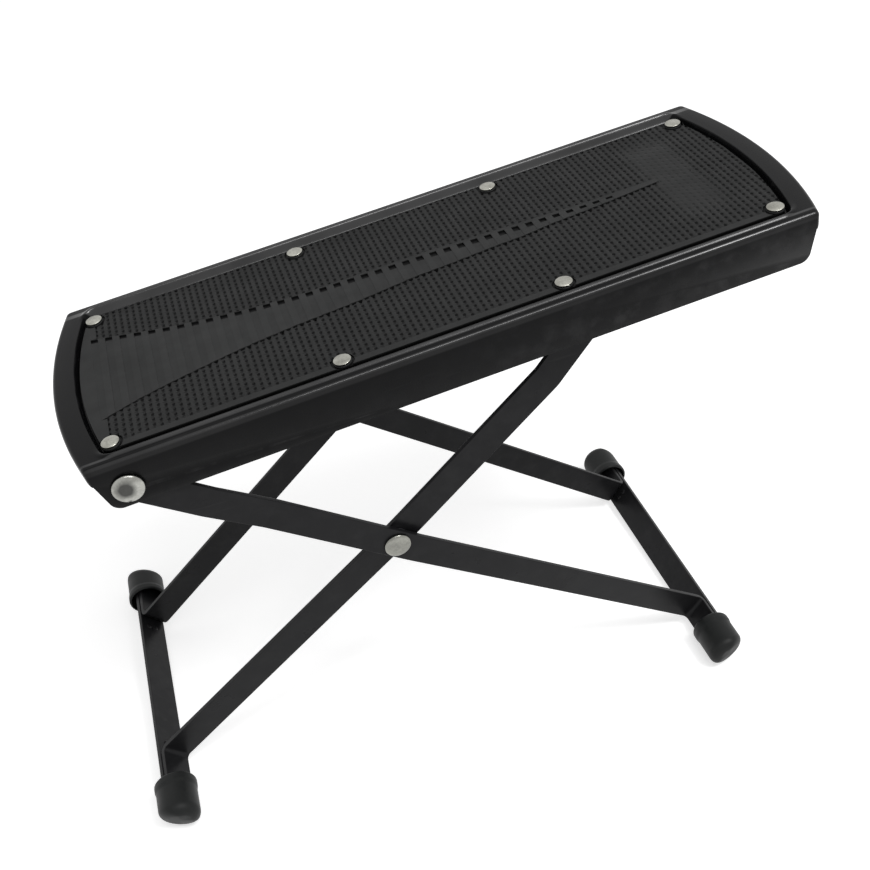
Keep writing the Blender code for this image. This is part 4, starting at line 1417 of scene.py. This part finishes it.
@dataclass
class Adjuster(Assembly):
    """The cross rod, the notched racks under the platform and the washers at the crossing."""

    rod_radius: float = 0.003
    tenon_radius: float = 0.0022
    head_radius: float = 0.0038
    head_height: float = 0.0009
    gap: float = 0.0003
    chamfer: float = 0.0003
    rack_sheet: float = 0.0015
    rack_x: Pair = (0.1658, 0.2679)
    flange_top: float = 0.0081
    flange_depth: float = 0.0085
    web_depth: float = 0.01741
    web_tip: float = 0.0005
    rack_bend: float = 0.0008
    rack_round: float = 0.00015
    notches: int = 5
    notch_x: float = 0.19494
    notch_pitch: float = 0.010
    notch_depth: float = 0.003
    racked: tuple[str, str] = ("mat_rivet_near_3", "mat_rivet_near_4")
    washer: Triple = (0.0028, 0.0058, 0.0013)
    washer_depth: float = 0.00635
    washer_edge: float = 0.0002
    cutters: Pair = (0.012, 0.010)

    def build_rod(self) -> None:
        """Make the shouldered rod with its peened ends."""
        face = self.plate.half - self.sites.rod_face
        head, shoulder = face + self.gap, face - self.sites.arm_sheet - self.gap
        half = crown(self.head_radius, self.head_height, head)[::-1]
        half += [(self.tenon_radius, head), (self.tenon_radius, shoulder),
                 (self.rod_radius - self.chamfer, shoulder),
                 (self.rod_radius, shoulder - self.chamfer)]
        item = add_piece("cross_rod", spun(half + [(r, -y) for r, y in reversed(half)], 32))
        shade(item, 40)
        self.finish(item, self.sites.inner @ moved(self.sites.to_rod), Body.INNER, Coat.ZINC)

    def build_rack(self, side: Side) -> None:
        """Make one rack."""
        start, end = self.rack_x
        notch, half_sheet = self.rod_radius + self.gap, self.rack_sheet / 2
        outer, web, hole = (self.plate.across(side, depth) for depth in
                            (self.flange_depth, self.web_depth + half_sheet, self.plate.rivet_inset))
        flange = self.flange_top - half_sheet
        bm = bent_strip([(outer, flange, 0), (web, flange, self.rack_bend + half_sheet),
                         (web, self.web_tip, 0)], end - start, steps=5)
        bmesh.ops.transform(bm, verts=bm.verts, matrix=moved((start + end) / 2) @ XZ_PLANE)
        item = add_piece(f"height_rack_{side.label}", bm)
        thicken(item, self.rack_sheet, 0)
        low = self.web_tip + self.notch_depth - notch
        long, short = self.cutters
        cutters = [bar(notch, long, moved(self.notch_x + self.notch_pitch * i, web, low)
                       @ turned(math.pi / 2, "X")) for i in range(self.notches)]
        cutters += [bar(self.plate.rivet_hole, short, moved(self.plate.rivets[name][0], hole, flange))
                    for name in self.racked]
        cut(item, cutters)
        soften(item, self.rack_round, 40)
        self.finish(item, self.sites.platform, Body.PLATFORM, Coat.ZINC)

    def build_washer(self, side: Side) -> None:
        """Make the washer between the arms at one crossing."""
        hole, radius, thickness = self.washer
        half, edge = thickness / 2, self.washer_edge
        profile = [(hole, -half), (radius - edge, -half), (radius, edge - half),
                   (radius, half - edge), (radius - edge, half), (hole, half), (hole, -half)]
        item = add_piece(f"crossing_washer_{side.label}", spun(profile, 40))
        shade(item, 30)
        place = self.sites.outer @ moved(0, self.plate.across(side, self.washer_depth))
        self.finish(item, place, Body.OUTER, Coat.ZINC)

    def build(self) -> None:
        """Make the rod, both racks and both washers."""
        self.build_rod()
        for make in (self.build_rack, self.build_washer):
            for side in Side:
                make(side)


# Feet

@dataclass(frozen=True)
class Foot:
    """A bar and its boots: their place along their arms' own axes and the body they move with."""

    label: str
    x: float
    weld_inset: float
    axes: Matrix
    body: Body


@dataclass
class Feet(Assembly):
    """The flat foot bars and the rubber boots on their ends."""

    bar_width: float = 0.0138
    bar_sheet: float = 0.002
    bar_reach: float = 0.0706
    bar_corner: float = 0.0015
    boot_radius: float = 0.00895
    boot_length: float = 0.0202
    mouth_out: float = 0.003
    bore: float = 0.00795
    end_wall: float = 0.0035
    end_round: float = 0.0045
    shoulder: float = 0.0012
    collar: Triple = (0.0030, 0.0004, 0.0028)
    slant: float = 0.24
    weld: Pair = (0.0012, 0.0006)
    weld_heights: Pair = (-0.0012, 0.0026)
    weld_insets: Pair = (0.0122, 0.0182)
    bar_round: float = 0.00025
    boot_round: float = 0.0003

    def build_bar(self, foot: Foot) -> None:
        """Make a bar with two small weld beads beside each arm, on its inner face."""
        sheet = bmesh.new()
        size = Matrix.Diagonal((self.bar_sheet, 2 * self.bar_reach, self.bar_width, 1))
        bmesh.ops.create_cube(sheet, size=1.0, matrix=moved(foot.x) @ size)
        corners = [e for e in sheet.edges
                   if abs(e.verts[0].co.x - e.verts[1].co.x) > self.bar_sheet / 2]
        rounded(sheet, corners, self.bar_corner, "EDGES", 4)
        welds = bmesh.new()
        radius, rise = self.weld
        face = foot.x - math.copysign(self.bar_sheet / 2, foot.x)
        for side in Side:
            for up in self.weld_heights:
                place = moved(face, self.plate.across(side, foot.weld_inset), up)
                bmesh.ops.create_uvsphere(welds, u_segments=12, v_segments=8, radius=1.0,
                                          matrix=place @ Matrix.Diagonal((rise, radius, radius, 1)))
        item = add_piece(f"foot_bar_{foot.label}", merged([sheet, welds]))
        soften(item, self.bar_round, 34)
        self.finish(item, foot.axes, foot.body, Coat.FRAME)

    def boot_profile(self) -> list[Pair]:
        """Radius and distance out, from the closed end round to the bottom of the bore."""
        length, r = self.boot_length, self.boot_radius
        quarter = [math.pi / 2 * i / 8 for i in range(9)]
        end = [(r - self.end_round * (1 - math.sin(a)), length - self.end_round * (1 - math.cos(a)))
               for a in quarter]
        reach, step, run = self.collar
        collar = [(r + step * (1 + math.cos(math.pi * i / 6)) / 2, reach + run * i / 6)
                  for i in range(6, -1, -1)]
        lip = min(self.shoulder, r - self.bore)
        mouth = [(r - lip * (1 - math.cos(a)) + step, self.shoulder * (1 - math.sin(a)))
                 for a in quarter]
        inside = length - self.end_wall
        return [(0, length)] + end + collar + mouth + [(self.bore, inside), (0, inside)]

    def build_boot(self, foot: Foot, side: Side) -> None:
        """Make one boot, its closed end cut aslant and its side on the floor."""
        short = -1 if foot.label == "left" and side is Side.NEAR else 1
        bm = spun(self.boot_profile(), 48)
        for vert in bm.verts:
            vert.co.y *= 1 - self.slant * max(0.0, 0.25 + 0.75 * short * vert.co.x / self.boot_radius)
        place = foot.axes @ moved(foot.x, self.plate.across(side, -self.mouth_out))
        if side is Side.NEAR:
            place = place @ turned(math.pi, "X")
        bmesh.ops.transform(bm, matrix=place, verts=bm.verts)
        ring = bmesh.ops.bisect_plane(bm, geom=everything(bm), plane_co=(0, 0, 0),
                                      plane_no=(0, 0, -1), clear_outer=True)["geom_cut"]
        bmesh.ops.edgeloop_fill(bm, edges=[e for e in ring if isinstance(e, BMEdge)])
        item = add_piece(f"boot_{foot.label}_{side.label}", cleaned(bm))
        soften(item, self.boot_round, 40)
        self.finish(item, Matrix.Identity(4), foot.body, Coat.BOOT)

    def build(self) -> None:
        """Make both bars and all four boots."""
        sites, (right, left) = self.sites, self.weld_insets
        for foot in (Foot("right", sites.to_right_foot, right, sites.outer, Body.OUTER),
                     Foot("left", -sites.to_left_foot, left, sites.inner, Body.INNER)):
            self.build_bar(foot)
            for side in Side:
                self.build_boot(foot, side)


# Studio

@dataclass
class Studio:
    """The camera, the floor and the light; a lamp has a place, an aim, a size and its watts."""

    eye: Triple = (-0.093421, -0.36784, 0.42870)
    yaw: float = math.radians(-14.751)
    pitch: float = math.radians(39.034)
    roll: float = math.radians(-4.392)
    lens: float = 45.547
    pale: Quad = (0.82, 0.82, 0.82, 1)
    white: Quad = (1, 1, 1, 1)
    floor_glow: float = 0.6
    soft_light: float = 0.42
    lamps: tuple[tuple[str, Triple, Triple, Pair, float], ...] = (
        ("top_box", (0.1, 0.2, 1.6), (0, 0, 0.1), (1.6, 1.2), 2.0),
        ("strip_box", (0.22, -0.48, 1.3), (0.05, 0, 0.2), (1.0, 0.16), 5.0),
        ("key_box", (0.5, -0.6, 1.25), (0.1, -0.03, 0.2), (0.25, 0.25), 4.0))

    def build_camera(self) -> None:
        """Place the camera at the photograph's angle."""
        camera = bpy.data.objects.new("camera", bpy.data.cameras.new("camera"))
        camera.data.sensor_width = 36
        camera.data.lens = self.lens
        camera.data.clip_start = 0.01
        bpy.context.scene.collection.objects.link(camera)
        camera.matrix_world = (moved(*self.eye) @ turned(self.yaw, "Z")
                               @ turned(math.pi / 2 - self.pitch, "X") @ turned(self.roll, "Z"))
        bpy.context.scene.camera = camera

    def seen(self, nodes: Nodes) -> NodeSocket:
        """Whether a ray comes from the camera, a reflection or through glass."""
        path = nodes.add("LightPath").outputs
        seen = nodes.maths("MAXIMUM", path["Is Camera Ray"], path["Is Glossy Ray"])
        return nodes.maths("MAXIMUM", seen, path["Is Transmission Ray"])

    def build_floor(self) -> None:
        """Make the pale floor, white to the camera but for the shadow."""
        bm = bmesh.new()
        bmesh.ops.create_grid(bm, x_segments=1, y_segments=1, size=6.0)
        floor = add_object("floor", bm)
        floor.location.z = -0.0001
        material = bpy.data.materials.new("floor")
        material.use_nodes = True
        nodes = Nodes(material.node_tree)
        matt = nodes.add("BsdfPrincipled", {"Base Color": self.pale, "Roughness": 0.9,
                                            "Specular IOR Level": 0.0}).outputs[0]
        glow = nodes.add("Emission", {"Color": self.white, "Strength": self.floor_glow}).outputs[0]
        lit = nodes.add("AddShader", {0: matt, 1: glow}).outputs[0]
        mixed = nodes.add("MixShader", {0: self.seen(nodes), 1: matt, 2: lit}).outputs[0]
        nodes.add("OutputMaterial", {"Surface": mixed})
        floor.data.materials.append(material)

    def build_world(self) -> None:
        """Make the white surroundings and their plain soft light."""
        world = bpy.data.worlds.new("studio")
        bpy.context.scene.world = world
        world.use_nodes = True
        nodes = Nodes(world.node_tree)
        soft, white = (nodes.add("Background", {"Color": self.white, "Strength": strength}).outputs[0]
                       for strength in (self.soft_light, 1.0))
        mixed = nodes.add("MixShader", {0: self.seen(nodes), 1: soft, 2: white}).outputs[0]
        nodes.add("OutputWorld", {"Surface": mixed})

    def build(self) -> None:
        """Set up the studio."""
        self.build_camera()
        self.build_floor()
        self.build_world()
        for name, spot, aim, size, power in self.lamps:
            lamp = bpy.data.lights.new(name, "AREA")
            lamp.shape = "RECTANGLE"
            lamp.size, lamp.size_y = size
            lamp.energy = power
            item = bpy.data.objects.new(name, lamp)
            item.location = spot
            item.rotation_euler = (Vector(aim) - Vector(spot)).to_track_quat("-Z", "Y").to_euler()
            bpy.context.scene.collection.objects.link(item)
        bpy.context.scene.view_settings.view_transform = "Standard"


# The whole footrest

def make_finishes(sites: Sites) -> dict[Coat, Material]:
    """Build every finish.

    Args:
        sites: The places that the patterns follow.

    Returns:
        The material of each finish.
    """
    effects = Effects()
    platform, mat = Platform(sites, {}), TreadMat(sites, {})
    turn = turned(-sites.tilt, "Y").to_3x3()
    lift = sites.pivot @ (turn @ Vector((0, 0, 1)))
    middle = (sites.platform @ Vector((platform.plate.centre, 0, 0))) @ (turn @ Vector((1, 0, 0)))
    # Painted sheen along the platform's near fold, near bead and far recess wall, where the highlights
    # fall.
    rolled = Rolled(middle, platform.plate.length / 2 - 0.004, lift + platform.recess_floor - 0.0004,
                    platform.stripes)
    glossy = (("Specular IOR Level", 0.09), ("Coat Roughness", 0.2), ("Coat IOR", 1.6))
    # Painted reflection: middle and radii of the dark spot on the pivot rivets' domes.
    dark_reflection_spot = (sites.pivot.x - 0.0008, sites.pivot.z + 0.0007, 0.0030, 0.0052)
    finishes = (
        Paint(effects, Coat.PLATE, (0.0027, 0.0027, 0.0031, 1), (0.0046, 0.0046, 0.005, 1),
              (0.19, 0.25), turn=sites.tilt, rolled=rolled, constants=glossy),
        Paint(effects, Coat.FRAME, (0.0095, 0.0095, 0.0105, 1), (0.0145, 0.0145, 0.0155, 1),
              (0.27, 0.36)),
        # The mat's painted shade runs from the ground up to the top of the relief.
        MatRubber(effects, Coat.MAT, (0.0225, 0.0229, 0.0229, 1), (0.0285, 0.0289, 0.0289, 1),
                  (0.5, 0.62), turn=sites.tilt, floor_height=lift + mat.ground,
                  top_height=lift + mat.top),
        BootRubber(effects, Coat.BOOT, (0.0085, 0.0093, 0.0092, 1), (0.0135, 0.0146, 0.0144, 1),
                   (0.42, 0.56)),
        Plated(effects, Coat.RIVET, (0.44, 0.435, 0.39, 1), (0.2, 0.197, 0.175, 1), (0.14, 0.28),
               (160.0, 0.8)),
        # Painted shade: the crossing rivets are a darker copy of the same plating, for their darker
        # reflections.
        Plated(effects, Coat.CROSSING, (0.3, 0.3, 0.27, 1), (0.17, 0.17, 0.155, 1), (0.16, 0.3),
               (120.0, 0.8)),
        Plated(effects, Coat.PIVOT, (0.46, 0.46, 0.43, 1), (0.24, 0.24, 0.22, 1), (0.2, 0.34),
               (120.0, 0.8), centre=dark_reflection_spot),
        Plated(effects, Coat.ZINC, (0.34, 0.345, 0.36, 1), (0.22, 0.225, 0.24, 1), (0.32, 0.5),
               (90.0, 0.8)))
    return {finish.coat: finish.make() for finish in finishes}


class Footrest:
    """The whole footrest, one sub-assembly after another."""

    groups = (Platform, TreadMat, Rivets, Arms, Adjuster, Feet)

    def build(self) -> None:
        """Build every sub-assembly in order."""
        sites = Sites.from_frame()
        finishes = make_finishes(sites)
        for group in self.groups:
            group(sites, finishes).build()


def main() -> None:
    """Build the footrest and its studio."""
    logging.basicConfig(level=logging.INFO, format="%(name)s: %(message)s")
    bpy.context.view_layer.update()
    Footrest().build()
    Studio().build()


if __name__ == "__main__":
    main()
